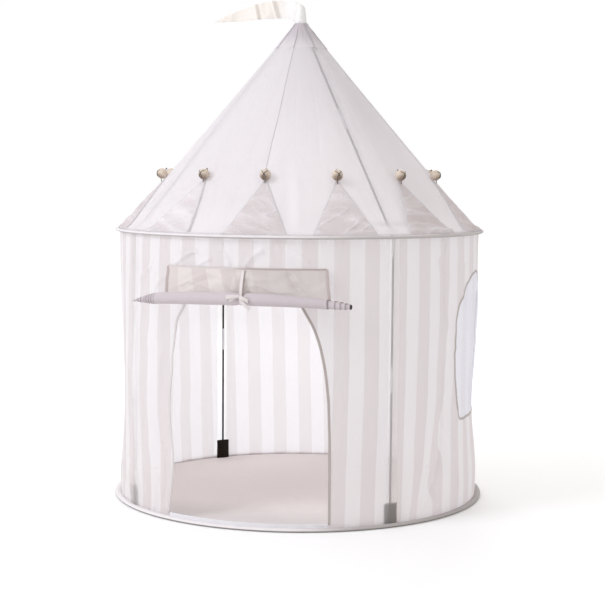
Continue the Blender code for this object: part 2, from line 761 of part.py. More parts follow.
def build_door(part, cutters):
    """The door panel: the flap that hangs from its seam, and the rest rolled up, on one hinge line."""
    hinge = empty("door_hinge", (0.0, HINGE_Y, FLAP_TOP), part)
    low = ROLL_HEIGHT + GAP

    def place_flap(across, up):
        side = 2 * across - 1
        top = polar(FLAP_RADIUS, side * FLAP_TOP_WIDTH / 2 / WALL_RADIUS, FLAP_TOP)
        bottom = Vector((side * FLAP_BOTTOM_WIDTH / 2, ROLL_Y + ROLL_RADIUS, low))
        return bottom.lerp(top, up)

    flap = sheet("door_flap", FLAP_COLUMNS, FLAP_ROWS, place_flap, THIN_CLOTH, part)
    paint(flap, "wall")
    steps = ROLL_TURNS * ROLL_SIDES

    def roll_radius(share):
        return ROLL_RADIUS + (ROLL_CORE_RADIUS - ROLL_RADIUS) * share

    def place_roll(across, along):
        turn = 2 * math.pi * ROLL_TURNS * along
        radius = roll_radius(along)
        rolled = along * (ROLL_RADIUS + radius) / (ROLL_RADIUS + ROLL_CORE_RADIUS)
        half = (ROLL_OUTER_WIDTH + (ROLL_INNER_WIDTH - ROLL_OUTER_WIDTH) * rolled) / 2
        back = radius * math.cos(turn)
        down = radius * math.sin(turn)
        return Vector(((2 * across - 1) * half, ROLL_Y + back, ROLL_HEIGHT - down))

    roll = sheet("door_roll", 1, steps, place_roll, ROLL_CLOTH, part)
    paint(roll, "wall")
    points = [place_roll(0.5, step / steps) for step in range(steps + 1)]
    least = min((points[step] - points[step + ROLL_SIDES]).length for step in range(steps - ROLL_SIDES))
    least = least * math.cos(math.pi / ROLL_SIDES) - ROLL_CLOTH
    print("door_roll: least gap between turns, in metres:", round(least, 6))
    tie = build_tie(part, cutters)
    for piece in (flap, roll, tie):
        hang_on(piece, hinge)


def build_tie(part, cutters):
    """A ribbon from the seam, down in front of the flap, round the roll and up behind it, tied in a bow."""
    lift = THIN_CLOTH / 2 + GAP + RIBBON_THICKNESS / 2
    around = ROLL_RADIUS + lift + chord_sag(ROLL_RADIUS, RIBBON_TURN_STEPS)
    front_height = FLAP_TOP - RIBBON_TOP_DROP
    back_height = ROLL_HEIGHT + (FLAP_TOP - ROLL_HEIGHT) * RIBBON_BACK_SHARE
    front = (flap_middle(front_height) - lift - ROLL_Y, front_height - ROLL_HEIGHT)
    back = (flap_middle(back_height) + lift + RIBBON_BACK_CLEARANCE - ROLL_Y, back_height - ROLL_HEIGHT)
    leave_front = math.atan2(front[1], front[0]) + math.acos(around / math.hypot(*front))
    leave_back = math.atan2(back[1], back[0]) - math.acos(around / math.hypot(*back)) + 2 * math.pi
    path = [front]
    for step in range(RIBBON_TURN_STEPS + 1):
        angle = leave_front + (leave_back - leave_front) * step / RIBBON_TURN_STEPS
        path.append((around * math.cos(angle), around * math.sin(angle)))
    path.append(back)
    rows = len(path) - 1

    def place(across, along):
        out, up = path[round(along * rows)]
        offset = RIBBON_OFFSET + (across - 0.5) * RIBBON_WIDTH
        return Vector((offset, ROLL_Y + out, ROLL_HEIGHT + up))

    tie = sheet("door_tie", 1, rows, place, RIBBON_THICKNESS, part)
    paint(tie, "wall")
    outwards = Vector((0.0, math.cos(leave_front), math.sin(leave_front)))
    reach = around + BOW_KNOT_RADIUS
    knot_place = Vector((RIBBON_OFFSET, ROLL_Y, ROLL_HEIGHT)) + outwards * reach
    for ribbon in build_bow(knot_place, outwards, cutters):
        cut(tie, hide_cutter(ribbon), "UNION")
    return tie


def build_bow(centre, outwards, cutters):
    """The bow's knot, two loops and two tails, which all meet in the knot."""
    bpy.ops.mesh.primitive_uv_sphere_add(
        segments=KNOT_SIDES, ring_count=KNOT_RINGS, radius=BOW_KNOT_RADIUS, location=centre
    )
    knot = bpy.context.object
    knot.name = "bow_knot"
    move_to(shade_round(knot), cutters)
    right = Vector((1.0, 0.0, 0.0))
    up = Vector((0.0, -outwards.z, outwards.y))
    if up.z < 0:
        up = -up
    pieces = [knot]
    for side in (1, -1):

        def place_loop(across, along):
            turn = 2 * math.pi * (BOW_GAP_SHARE + (1 - 2 * BOW_GAP_SHARE) * along)
            reach = BOW_LOOP_LENGTH * (1 - math.cos(turn)) / 2
            fat = BOW_FAT_SHARE * BOW_LOOP_LENGTH * math.sin(turn) * math.sin(turn / 2)
            sink = -BOW_LOOP_RISE * reach / BOW_LOOP_LENGTH
            sideways = right * side * (BOW_KNOT_RADIUS / 2 + reach)
            depth = (across - 0.5) * RIBBON_WIDTH
            return centre + sideways + up * (fat + sink) + outwards * depth

        pieces.append(sheet("bow_loop", 1, BOW_STEPS, place_loop, RIBBON_THICKNESS, cutters))

        def place_tail(across, along):
            fall = BOW_KNOT_RADIUS / 2 + BOW_TAIL_LENGTH * along
            splay = side * BOW_TAIL_SPLAY_SHARE * (fall + BOW_KNOT_RADIUS)
            width = (across - 0.5) * RIBBON_WIDTH / 2
            return centre - up * fall + right * splay + outwards * width

        pieces.append(sheet("bow_tail", 1, BOW_TAIL_STEPS, place_tail, RIBBON_THICKNESS, cutters))
    return pieces


def build_poles(part, cutters):
    """Four poles, each of rods joined by ferrules and an elbow, with its foot in a pocket."""
    names = ("front_right", "back_right", "back_left", "front_left")
    elbow_corner = Vector((0.0, -POLE_CIRCLE, ELBOW_HEIGHT))
    up = Vector((0.0, 0.0, 1.0))
    up_roof = Vector((0.0, math.sin(CONE_ANGLE), math.cos(CONE_ANGLE)))
    whole_slope = POLE_CIRCLE / math.sin(CONE_ANGLE)
    roof_ferrule = whole_slope * ROOF_FERRULE_SHARE
    socket_end = HUB_SOCKET_START + HUB_SOCKET_LENGTH - HUB_SOCKET_DEPTH
    in_elbow = ELBOW_LEG - ELBOW_SOCKET + GAP

    def wall_leg(height):
        return Vector((0.0, -POLE_CIRCLE, height))

    def roof_leg(distance):
        return elbow_corner + up_roof * distance

    foot = POCKET_FOOT + POCKET_FLOOR + GAP
    wall_ferrule = foot + (ELBOW_HEIGHT - foot) * WALL_FERRULE_SHARE
    ferruled = (
        ("lower_rod", wall_leg(wall_ferrule), up, wall_ferrule - foot),
        ("roof_rod_lower", roof_leg(roof_ferrule), up_roof, roof_ferrule - in_elbow),
    )
    plain = (
        ("upper_rod", wall_leg(wall_ferrule + GAP), wall_leg(ELBOW_HEIGHT - in_elbow)),
        ("roof_rod_upper", roof_leg(roof_ferrule + GAP), roof_leg(whole_slope - socket_end - GAP)),
    )
    for number, name in enumerate(names):
        frame = empty("pole_frame_" + name, (0.0, 0.0, 0.0), part, turn=(number + 0.5) * QUARTER)
        for rod_name, start, end in plain:
            rod = rod_between(name + "_" + rod_name, start, end, ROD_RADIUS, ROD_SIDES, part)
            rod.parent = frame
            paint(rod, "rod")
        for rod_name, joint, direction, length in ferruled:
            rod = build_ferruled_rod(name + "_" + rod_name, length, part)
            rod.location = joint
            rod.rotation_euler = direction.to_track_quat("Z", "Y").to_euler()
            rod.parent = frame
        build_elbow(name + "_elbow", elbow_corner, up, up_roof, frame, part, cutters)
        build_pocket(name + "_pocket", frame, part, cutters)


def build_ferruled_rod(name, length, part):
    """A rod with a metal ferrule crimped on its upper end for good, which the next rod plugs into."""
    half = FERRULE_LENGTH / 2
    crimp = FERRULE_CRIMP_WIDTH / 2
    profile = [
        (0.0, 0.0),
        (BORE_RADIUS, 0.0),
        (BORE_RADIUS, half),
        (FERRULE_RADIUS, half),
        (FERRULE_RADIUS, crimp),
        (FERRULE_RADIUS - FERRULE_CRIMP_DEPTH, 0.0),
        (FERRULE_RADIUS, -crimp),
        (FERRULE_RADIUS, -half),
        (ROD_RADIUS, -half),
        (ROD_RADIUS, -length),
        (0.0, -length),
    ]
    return paint(turned(name, profile, ROD_SIDES, part, False), "rod")


def build_elbow(name, corner, up, up_roof, frame, part, cutters):
    """A bent metal tube at the eave, with a socket for a rod in each end."""
    tangent = ELBOW_BEND_RADIUS * math.tan(CONE_ANGLE / 2)
    bend_middle = corner + Vector((0.0, ELBOW_BEND_RADIUS, -tangent))
    points = [corner - up * ELBOW_LEG]
    for step in range(BEND_STEPS + 1):
        angle = CONE_ANGLE * step / BEND_STEPS
        spoke = Vector((0.0, -math.cos(angle), math.sin(angle)))
        points.append(bend_middle + spoke * ELBOW_BEND_RADIUS)
    points.append(corner + up_roof * ELBOW_LEG)
    elbow = as_mesh(tube(name, points, FERRULE_RADIUS, ELBOW_RESOLUTION, part), part)
    for label, direction in (("_lower_bore", -up), ("_upper_bore", up_roof)):
        start = corner + direction * (ELBOW_LEG - ELBOW_SOCKET)
        end = corner + direction * (ELBOW_LEG + OVERRUN)
        bore = rod_between(name + label, start, end, BORE_RADIUS, ROD_SIDES, cutters)
        bore.parent = frame
        cut(elbow, hide_cutter(bore))
    elbow.parent = frame
    paint(elbow, "metal")


def build_pocket(name, frame, part, cutters):
    """A webbing pocket on the groundsheet that a pole's foot stands in."""
    depth = 2 * (BORE_RADIUS + POCKET_WALL)
    bm = bmesh.new()
    bmesh.ops.create_cube(bm, size=1.0)
    bmesh.ops.scale(bm, verts=bm.verts, vec=(POCKET_WIDTH, depth, POCKET_HEIGHT))
    pocket = mesh_object(name, bm, part)
    pocket.location = (0.0, -POLE_CIRCLE, POCKET_FOOT + POCKET_HEIGHT / 2)
    pocket.parent = frame
    rounding = pocket.modifiers.new("rounding", "BEVEL")
    rounding.width = POCKET_ROUNDING
    rounding.segments = POCKET_BEVEL_STEPS
    start = Vector((0.0, -POLE_CIRCLE, POCKET_FOOT + POCKET_FLOOR))
    end = Vector((0.0, -POLE_CIRCLE, POCKET_FOOT + POCKET_HEIGHT + OVERRUN))
    bore = rod_between(name + "_bore", start, end, BORE_RADIUS, ROD_SIDES, cutters)
    bore.parent = frame
    cut(pocket, hide_cutter(bore))
    paint(pocket, "pocket")


def build_hub(part, cutters):
    """The moulded hub at the crown: four sockets for the poles and a mast for the flag."""
    axis_top = Vector((0.0, 0.0, HUB_TOP))
    axis_foot = Vector((0.0, 0.0, HUB_TOP - HUB_LENGTH))
    hub = rod_between("crown_hub", axis_foot, axis_top, HUB_RADIUS, 2 * ROD_SIDES, part)
    mast_foot = Vector((0.0, 0.0, HUB_TOP - HUB_LENGTH / 2))
    mast = rod_between("mast", mast_foot, Vector((0.0, 0.0, MAST_TOP)), MAST_RADIUS, ROD_SIDES, cutters)
    cut(hub, hide_cutter(mast), "UNION")
    tip = Vector((0.0, 0.0, POLE_TIP))
    bores = []
    for number in range(PANELS):
        azimuth = (number + 0.5) * QUARTER
        down_roof = polar(math.sin(CONE_ANGLE), azimuth, -math.cos(CONE_ANGLE))
        start = tip + down_roof * HUB_SOCKET_START
        end = start + down_roof * HUB_SOCKET_LENGTH
        socket = rod_between("hub_socket", start, end, SOCKET_RADIUS, ROD_SIDES, cutters)
        cut(hub, hide_cutter(socket), "UNION")
        floor = end - down_roof * HUB_SOCKET_DEPTH
        mouth = end + down_roof * OVERRUN
        bores.append(rod_between("hub_bore", floor, mouth, BORE_RADIUS, ROD_SIDES, cutters))
    for bore in bores:
        cut(hub, hide_cutter(bore))
    paint(hub, "plastic")


def build_flag(part, cutters):
    """A cloth pennant on a sleeve that slips over the mast and turns on it."""
    axle = empty("flag_axis", (0.0, 0.0, CROWN_HEIGHT), part)
    bottom = CROWN_HEIGHT + FLAG_SLEEVE_CLEARANCE
    bore = round_bore(MAST_RADIUS + GAP, ROD_SIDES)
    bore_top = MAST_TOP + GAP
    top = bore_top + FLAG_SLEEVE_CAP
    profile = [
        (0.0, top),
        (FLAG_SLEEVE_TOP_RADIUS / 2, top - FLAG_SLEEVE_CAP / 4),
        (FLAG_SLEEVE_TOP_RADIUS, top - FLAG_SLEEVE_CAP),
        (FLAG_SLEEVE_RADIUS, bottom + FLAG_RISE),
        (FLAG_SLEEVE_RADIUS, bottom),
        (bore, bottom),
        (bore, bore_top),
        (0.0, bore_top),
    ]
    flag = turned("flag", profile, 2 * ROD_SIDES, part, False)
    hoist = (bore + FLAG_SLEEVE_TOP_RADIUS) / 2
    base = CROWN_HEIGHT + FLAG_RISE
    columns = len(FLAG_PLACE_SHARES) - 1

    def place(across, up):
        column = round(across * columns)
        share = FLAG_PLACE_SHARES[column]
        height = base + FLAG_HEIGHT * (FLAG_HEIGHT_SHARES[column] * up - FLAG_DROP_SHARES[column])
        wave = FLAG_WAVE * math.sin(2 * math.pi * FLAG_WAVES * share) * (1 - share)
        return Vector((-FLAG_LENGTH + (FLAG_LENGTH - hoist) * share, wave, height))

    cloth = sheet("flag_cloth", columns, FLAG_ROWS, place, THIN_CLOTH, cutters)
    cut(flag, hide_cutter(cloth), "UNION")
    flag.location = -axle.location
    flag.parent = axle
    paint(flag, "flag")


def main():
    clear_scene()
    part = new_collection("play_tent")
    cutters = new_collection("cutters")
    build_hoops(part)
    build_wall(part, cutters)
    build_bindings(part)
    build_roof(part)
    build_bunting(part)
    build_door(part, cutters)
    build_poles(part, cutters)
    build_hub(part, cutters)
    build_flag(part, cutters)


main()
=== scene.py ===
"""The play tent as the photograph shows it: thin striped cloth over a frame of hoops and jointed poles.

Everything is in metres, in the tent's own frame: +Z up, the door faces -Y.
An azimuth is measured about the tent's axis, from 0 at the door (-Y) towards +X."""

import math

import bmesh
import bpy
import numpy as np
from mathutils import Matrix, Vector


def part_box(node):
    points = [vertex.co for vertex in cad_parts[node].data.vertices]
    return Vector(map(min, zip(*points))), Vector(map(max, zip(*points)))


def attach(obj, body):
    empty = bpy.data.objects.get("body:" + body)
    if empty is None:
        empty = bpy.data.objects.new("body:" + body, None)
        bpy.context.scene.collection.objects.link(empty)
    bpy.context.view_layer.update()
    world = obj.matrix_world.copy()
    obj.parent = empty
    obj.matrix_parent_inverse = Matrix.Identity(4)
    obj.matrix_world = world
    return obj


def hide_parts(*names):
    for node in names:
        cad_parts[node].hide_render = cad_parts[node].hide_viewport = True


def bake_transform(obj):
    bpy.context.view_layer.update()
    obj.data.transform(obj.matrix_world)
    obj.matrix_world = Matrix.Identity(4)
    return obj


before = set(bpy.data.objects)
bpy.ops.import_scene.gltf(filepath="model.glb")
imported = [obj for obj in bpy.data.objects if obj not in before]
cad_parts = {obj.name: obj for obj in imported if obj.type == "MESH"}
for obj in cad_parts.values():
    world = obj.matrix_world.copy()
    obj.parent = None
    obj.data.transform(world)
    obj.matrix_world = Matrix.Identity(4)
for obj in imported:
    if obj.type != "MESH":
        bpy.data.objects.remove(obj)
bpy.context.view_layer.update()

# Overall sizes, read from the frame
BASE_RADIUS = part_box("base_sleeve")[1].x
RING_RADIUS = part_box("top_sleeve")[1].x
RING_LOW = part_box("top_sleeve")[0].z
RING_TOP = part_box("top_sleeve")[1].z
WALL_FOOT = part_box("wall_back")[0].z
WALL_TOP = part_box("wall_back")[1].z
WALL_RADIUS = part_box("floor_sheet")[1].x - 0.001
CROWN_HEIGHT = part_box("roof_front_left")[1].z
ROLL_LOW, ROLL_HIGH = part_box("door_roll")
FLAP_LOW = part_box("door_flap")[0].z

# Wall: waist between the poles, stripes and folds
WAIST_DEPTH = 0.0130
WAIST_HEIGHT = 0.260
STRIPE_PAIRS = 39
STRIPE_TURN = math.radians(1.49)

# Roof
CROWN_RADIUS = 0.0146
FLARE_WIDTH = 0.0148
FLARE_HEIGHT = 0.0100
FLARE_REACH = 0.0130
EAVE_ALONG = -0.0212
EAVE_OUT = 0.0092
ROOF_SAG = 0.0040
CAP_LENGTH = 0.088

# Door opening and windows, along the middle of their bindings
DOOR_SILL = 0.0150
DOOR_TOP = 0.632
WINDOW_HALF = 0.151
WINDOW_BOTTOM = 0.234
WINDOW_TOP = 0.616
NET_PITCH = 0.0034
NET_STRAND = 0.0011

# Rolled door, and the x of the ribbon that holds it
ROLL_TURNS = 9
ROLL_CORE = 0.0040
RIBBON_OFFSET = 0.0080

# Bunting
PENNANTS = 12
PENNANT_WIDTH = 0.158
BEAD_RADIUS = 0.0140
BEAD_BORE = 0.0026
CORD_RADIUS = 0.0009

# Width and thickness of what is sewn on
BINDING_TAPE = (0.0066, 0.0022)
ROOF_SEAM_TAPE = (0.0022, 0.0008)
CAP_SEAM_TAPE = (0.0020, 0.0012)
BUNTING_TAPE = (0.0042, 0.0011)
FLAP_BINDING_TAPE = (0.0080, 0.0018)
FLAP_SEAM_TAPE = (0.0054, 0.0016)
RIBBON = (0.0085, 0.0009)
RIBBON_UNDER = (RIBBON[0] * 0.8, RIBBON[1])
SILL_THICKNESS = 0.0014
BOW_THICKNESS = 0.0008

# Poles
FERRULE_LENGTH = 0.0640
WALL_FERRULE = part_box("front_right_upper_rod")[0].z
ROOF_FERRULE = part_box("front_right_roof_rod_upper")[0].z + 0.0020

# Camera, fitted to the two hoops and the floor: distance from the tent's axis and height
CAMERA_TURN = math.radians(16.3)
CAMERA_DISTANCE = 4.0
CAMERA_HEIGHT = 0.8826
CAMERA_PITCH = 0.09142
CAMERA_ROLL = 0.00711
FOCAL_PIXELS = 1470.3
PHOTO_PIXELS = 605
CENTRE_PIXEL = 299.07
SENSOR = 36.0

QUARTER = math.pi / 2
CORNERS = ("front_right", "back_right", "back_left", "front_left")
EAVE_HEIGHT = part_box("roof_front_left")[0].z + 0.001
CONE_HEIGHT = EAVE_HEIGHT + FLARE_HEIGHT
CONE_RADIUS = WALL_RADIUS - FLARE_WIDTH
SLOPE_LENGTH = math.hypot(CONE_RADIUS - CROWN_RADIUS, CROWN_HEIGHT - CONE_HEIGHT)
CONE_ANGLE = math.atan2(CONE_RADIUS - CROWN_RADIUS, CROWN_HEIGHT - CONE_HEIGHT)


# Noise and small helpers


def hashed(ix, iy, seed):
    """A repeatable number from 0 to 1 for each lattice point."""
    mixed = np.sin(ix * 127.1 + iy * 311.7 + seed * 74.7) * 43758.5453
    return mixed - np.floor(mixed)


def noise(x, y, seed, wrap=None):
    """Smooth noise from -1 to 1. With wrap, x repeats after that many steps."""
    x, y = np.broadcast_arrays(np.asarray(x, float), np.asarray(y, float))
    ix, iy = np.floor(x), np.floor(y)
    fx, fy = x - ix, y - iy
    sx = fx * fx * fx * (fx * (fx * 6 - 15) + 10)
    sy = fy * fy * fy * (fy * (fy * 6 - 15) + 10)
    left, right = ix, ix + 1
    if wrap:
        left, right = np.mod(left, wrap), np.mod(right, wrap)
    low = hashed(left, iy, seed) * (1 - sx) + hashed(right, iy, seed) * sx
    high = hashed(left, iy + 1, seed) * (1 - sx) + hashed(right, iy + 1, seed) * sx
    return 2 * (low * (1 - sy) + high * sy) - 1


def ridged(x, y, seed):
    """Noise with sharp ridges, as creases have, from 0 to 1."""
    return 1 - np.abs(noise(x, y, seed))


def round_noise(azimuth, count, y, seed):
    """Noise that goes round the tent in count steps and meets itself."""
    return noise(np.mod(azimuth / (2 * math.pi), 1.0) * count, y, seed, count)


def round_ridges(azimuth, count, y, seed):
    return 1 - np.abs(round_noise(azimuth, count, y, seed))


def bump(x, middle, width):
    """1 at the middle and 0 far from it."""
    return np.exp(-(((x - middle) / width) ** 2))


def smooth(x, low, high):
    t = np.clip((x - low) / (high - low), 0, 1)
    return t * t * (3 - 2 * t)


def degrees_of(azimuth):
    """An azimuth in degrees, from -180 to 180."""
    return np.degrees(np.mod(azimuth + math.pi, 2 * math.pi) - math.pi)


def full_turn(count):
    """Angles once round, without the last, which would meet the first."""
    return np.linspace(0, 2 * math.pi, count, endpoint=False)


def polar(radius, azimuth, height):
    """Points of a cylinder's coordinates, as an array with x, y and z last."""
    radius, azimuth, height = np.broadcast_arrays(radius, azimuth, height)
    return np.stack((radius * np.sin(azimuth), -radius * np.cos(azimuth), height), axis=-1)


def add_object(name, data):
    obj = bpy.data.objects.new(name, data)
    bpy.context.scene.collection.objects.link(obj)
    return obj


def grid_object(name, points, cloth, keep=None, around=False, along=False, extra=None):
    """A smooth surface through a grid of points, with the cloth's own flat coordinates in metres.

    keep says which cells are there, around and along close the grid on itself."""
    rows, columns = points.shape[:2]
    index = np.arange(rows * columns).reshape(rows, columns)
    if around:
        index = np.concatenate((index, index[:, :1]), axis=1)
    if along:
        index = np.concatenate((index, index[:1]), axis=0)
    quads = np.stack((index[:-1, :-1], index[:-1, 1:], index[1:, 1:], index[1:, :-1]), axis=-1)
    if keep is not None:
        quads = quads[keep]
    quads = quads.reshape(-1, 4)
    used, packed = np.unique(quads, return_inverse=True)
    mesh = bpy.data.meshes.new(name)
    mesh.from_pydata(points.reshape(-1, 3)[used].tolist(), [], packed.reshape(-1, 4).tolist())
    mesh.shade_smooth()
    flat = np.zeros((rows * columns, 3))
    flat[:, :2] = np.asarray(cloth).reshape(-1, 2)
    mesh.attributes.new("cloth", "FLOAT_VECTOR", "POINT").data.foreach_set("vector", flat[used].ravel())
    for label, values in (extra or {}).items():
        layer = mesh.attributes.new(label, "FLOAT", "POINT")
        layer.data.foreach_set("value", np.asarray(values, float).reshape(-1)[used])
    return add_object(name, mesh)


def lathe(name, profile, sides):
    """A closed profile of (radius, height) turned about the axis."""
    turns = full_turn(sides)
    points = polar(profile[:, :1], turns[None, :], profile[:, 1:])
    flat = np.stack(np.meshgrid(turns * WALL_RADIUS, profile[:, 1]), axis=-1)
    return grid_object(name, points, flat, around=True, along=True)


def close_rims(obj, chosen=lambda edge: True, turn_out=True):
    """Close the open rims that chosen picks, and turn the faces outwards."""
    bm = bmesh.new()
    bm.from_mesh(obj.data)
    bmesh.ops.holes_fill(bm, edges=[edge for edge in bm.edges if edge.is_boundary and chosen(edge)])
    if turn_out:
        bmesh.ops.recalc_face_normals(bm, faces=bm.faces)
    bm.to_mesh(obj.data)
    bm.free()


def rounded(turn, power):
    """A cosine that is flattened towards a square's side."""
    return np.sign(turn) * np.abs(turn) ** power


def unit_rows(rows):
    return rows / np.linalg.norm(rows, axis=1)[:, None]


def tape(name, points, outwards, size, closed=False, corners=8, shade=None):
    """A flat sewn tape of size (width, thickness) that follows a line of points on a surface."""
    points, outwards = np.asarray(points, float), np.asarray(outwards, float)
    if closed:
        ahead = np.roll(points, -1, axis=0) - np.roll(points, 1, axis=0)
    else:
        ahead = np.gradient(points, axis=0)
    ahead = unit_rows(ahead)
    outwards = unit_rows(outwards - ahead * (outwards * ahead).sum(1)[:, None])
    sideways = np.cross(outwards, ahead)
    turn = full_turn(corners) + math.pi / corners
    across = rounded(np.cos(turn), 0.6) * size[0] / 2
    up = rounded(np.sin(turn), 0.6) * size[1] / 2
    ring = points[:, None] + sideways[:, None] * across[None, :, None] + outwards[:, None] * up[None, :, None]
    steps = np.concatenate(([0], np.cumsum(np.linalg.norm(np.diff(points, axis=0), axis=1))))
    flat = np.stack(np.meshgrid(across, steps), axis=-1)
    obj = grid_object(name, ring, flat, around=True, along=closed)
    if not closed:
        close_rims(obj)
    if shade is not None:
        mark(obj, shade)
    return obj


def mark(obj, shade):
    """Give a finished mesh its shade attribute: a number, or a function of its points' x, y and z."""
    places = np.empty((len(obj.data.vertices), 3))
    obj.data.vertices.foreach_get("co", places.ravel())
    values = shade(*places.T) if callable(shade) else np.full(len(places), shade)
    obj.data.attributes.new("shade", "FLOAT", "POINT").data.foreach_set("value", values)


def dress(obj, material, body="tent", replaces=()):
    """Give a piece its material and the body it moves with, and hide the nodes it stands for.

    A piece that is attached to no body has None for its body."""
    obj.data.materials.clear()
    obj.data.materials.append(material)
    if body:
        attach(obj, body)
    if replaces:
        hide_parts(*replaces)


# Materials


class Nodes:
    """A short way to build the node tree of a material or of the world."""

    def __init__(self, owner, output="OutputMaterial"):
        owner.use_nodes = True
        self.owner, self.tree = owner, owner.node_tree
        self.tree.nodes.clear()
        self.output = self.add(output)

    def add(self, kind, inputs=None, **settings):
        """A new node with its settings, and its inputs by name or number: each a value or a socket."""
        node = self.tree.nodes.new("ShaderNode" + kind)
        for key, value in settings.items():
            setattr(node, key, value)
        for key, source in (inputs or {}).items():
            socket = node.inputs[key]
            if isinstance(source, (int, float)):
                socket.default_value = source
            elif isinstance(source, tuple):
                socket.default_value = (*source, 1.0)[: len(socket.default_value)]
            else:
                self.tree.links.new(source, socket)
        return node

    def show(self, shader):
        """Make a shader node the one that shows, and give back what owns the tree."""
        self.tree.links.new(shader.outputs[0], self.output.inputs["Surface"])
        return self.owner

    def math(self, operation, *sources):
        return self.add("Math", dict(enumerate(sources)), operation=operation).outputs[0]

    def mix(self, share, first, second):
        return self.add("Mix", {0: share, 6: first, 7: second}, data_type="RGBA").outputs[2]

    def mix_shaders(self, share, first, second):
        return self.add("MixShader", {0: share, 1: first.outputs[0], 2: second.outputs[0]})

    def noise(self, vector, scale, detail=3.0, roughness=0.5):
        inputs = {"Vector": vector, "Scale": scale, "Detail": detail, "Roughness": roughness}
        return self.add("TexNoise", inputs).outputs[0]

    def stretch(self, vector, scale):
        return self.add("Mapping", {"Vector": vector, "Scale": scale}).outputs[0]

    def split(self, vector):
        return self.add("SeparateXYZ", {0: vector}).outputs

    def place(self):
        return self.add("TexCoord").outputs["Object"]

    def attribute(self, name, output="Fac"):
        return self.add("Attribute", attribute_name=name).outputs[output]

    def range(self, source, low, high, to_low=0.0, to_high=1.0):
        return self.add("MapRange", dict(enumerate((source, low, high, to_low, to_high)))).outputs[0]

    def bump(self, height, distance, strength=1.0, below=None):
        inputs = {"Height": height, "Distance": distance, "Strength": strength}
        if below is not None:
            inputs["Normal"] = below
        return self.add("Bump", inputs).outputs[0]


def weave_height(nodes, cloth, pitch):
    """The height of a plain weave of threads at a pitch, over the cloth's own coordinates."""
    ways = nodes.split(cloth)
    waves = (nodes.math("SINE", nodes.math("MULTIPLY", ways[axis], 2 * math.pi / pitch)) for axis in (0, 1))
    return nodes.math("MULTIPLY", *waves)


def stitch_mask(nodes, cloth, offset, pitch):
    """Where the thread of a row of stitches shows, offset from the middle of a tape on both sides."""
    ways = nodes.split(cloth)
    aside = nodes.math("ABSOLUTE", nodes.math("SUBTRACT", nodes.math("ABSOLUTE", ways[0]), offset))
    on_line = nodes.range(aside, 0.00025, 0.00045, 1.0, 0.0)
    step = nodes.math("FRACT", nodes.math("DIVIDE", ways[1], pitch))
    return nodes.math("MULTIPLY", on_line, nodes.math("LESS_THAN", step, 0.68))


def scaled(color, share):
    """A colour made lighter or darker, no lighter than white."""
    return tuple(min(1.0, part * share) for part in color)


def cloth_material(
    name, color, second=None, share=None, *, through, clear=0.0, near_clear=0.0, weave=0.0009,
    crinkle=0.0010, dark_edge=None, through_color=None, through_share=0.5, stitches=None,
):
    """Thin woven cloth: light comes through it, and its weave, slubs and crinkles show at its surface.

    share names an attribute that goes from color (0) to second (1), or the stripes' coordinate. On several
    cloths second is a darker copy that paints shade, and on the flap dark_edge paints shade besides darkening
    hems.
    dark_edge names one that darkens hems, through is the share of light that passes, and clear the share
    that passes straight. near_clear is how much more of it passes where the cloth touches a pole or its
    pocket. The light that comes through turns to through_color by through_share, and stitches = (offset,
    pitch) sews a row of thread along both edges."""
    nodes = Nodes(bpy.data.materials.new(name))
    cloth = nodes.attribute("cloth", "Vector")
    place = nodes.place()
    slub = nodes.noise(nodes.stretch(cloth, (40.0, 900.0, 1.0)), 1.0, 2.0)
    blotch = nodes.noise(place, 7.0, 3.0)
    tone = nodes.math("MULTIPLY_ADD", slub, 0.05, 0.955)
    tone = nodes.math("MULTIPLY_ADD", blotch, 0.03, nodes.math("SUBTRACT", tone, 0.015))
    base = color
    if share == "stripe":
        wave = nodes.math("SINE", nodes.math("MULTIPLY", nodes.attribute(share), 2 * math.pi))
        base = nodes.mix(nodes.range(wave, -0.06, 0.06), color, second)
    elif share:
        base = nodes.mix(nodes.attribute(share), color, second)
    if dark_edge:
        base = nodes.mix(nodes.attribute(dark_edge), base, scaled(color, 0.80))
    shade = nodes.add("VectorMath", {0: base, "Scale": tone}, operation="SCALE").outputs[0]
    height = weave_height(nodes, cloth, weave)
    relief = nodes.bump(nodes.noise(place, 34.0, 4.0, 0.55), crinkle)
    relief = nodes.bump(height, weave * 0.12, 0.6, relief)
    if stitches:
        sewn = stitch_mask(nodes, cloth, *stitches)
        relief = nodes.bump(sewn, 0.0004, 1.0, relief)
        shade = nodes.mix(sewn, shade, scaled(color, 1.25))
    front = nodes.add("BsdfPrincipled", {
        "Base Color": shade, "Roughness": 0.88, "Sheen Weight": 0.12, "Sheen Roughness": 0.5,
        "Specular IOR Level": 0.25, "Normal": relief,
    })
    passed = nodes.mix(through_share, shade, through_color) if through_color else shade
    back = nodes.add("BsdfTranslucent", {"Color": passed, "Normal": relief})
    shown = nodes.mix_shaders(through, front, back)
    if clear:
        straight = clear
        if near_clear:
            straight = nodes.math("MULTIPLY_ADD", nodes.attribute("near"), near_clear, clear)
        shown = nodes.mix_shaders(straight, shown, nodes.add("BsdfTransparent"))
    return nodes.show(shown)


def solid_material(
    name, color, roughness, metallic=0.0, *, grain_scale, grain=(1.0, 1.0, 1.0), contrast=0.12,
    relief=0.0001, sheen=0.0, specular=0.5,
):
    """A hard or dense surface whose colour and roughness vary with a stretched grain."""
    nodes = Nodes(bpy.data.materials.new(name))
    marks = nodes.noise(nodes.stretch(nodes.place(), grain), grain_scale, 4.0)
    return nodes.show(nodes.add("BsdfPrincipled", {
        "Base Color": nodes.mix(marks, scaled(color, 1 - contrast), color),
        "Roughness": nodes.range(marks, 0.3, 0.7, roughness - 0.06, roughness + 0.06),
        "Metallic": metallic,
        "Specular IOR Level": specular,
        "Sheen Weight": sheen,
        "Normal": nodes.bump(marks, relief),
    }))


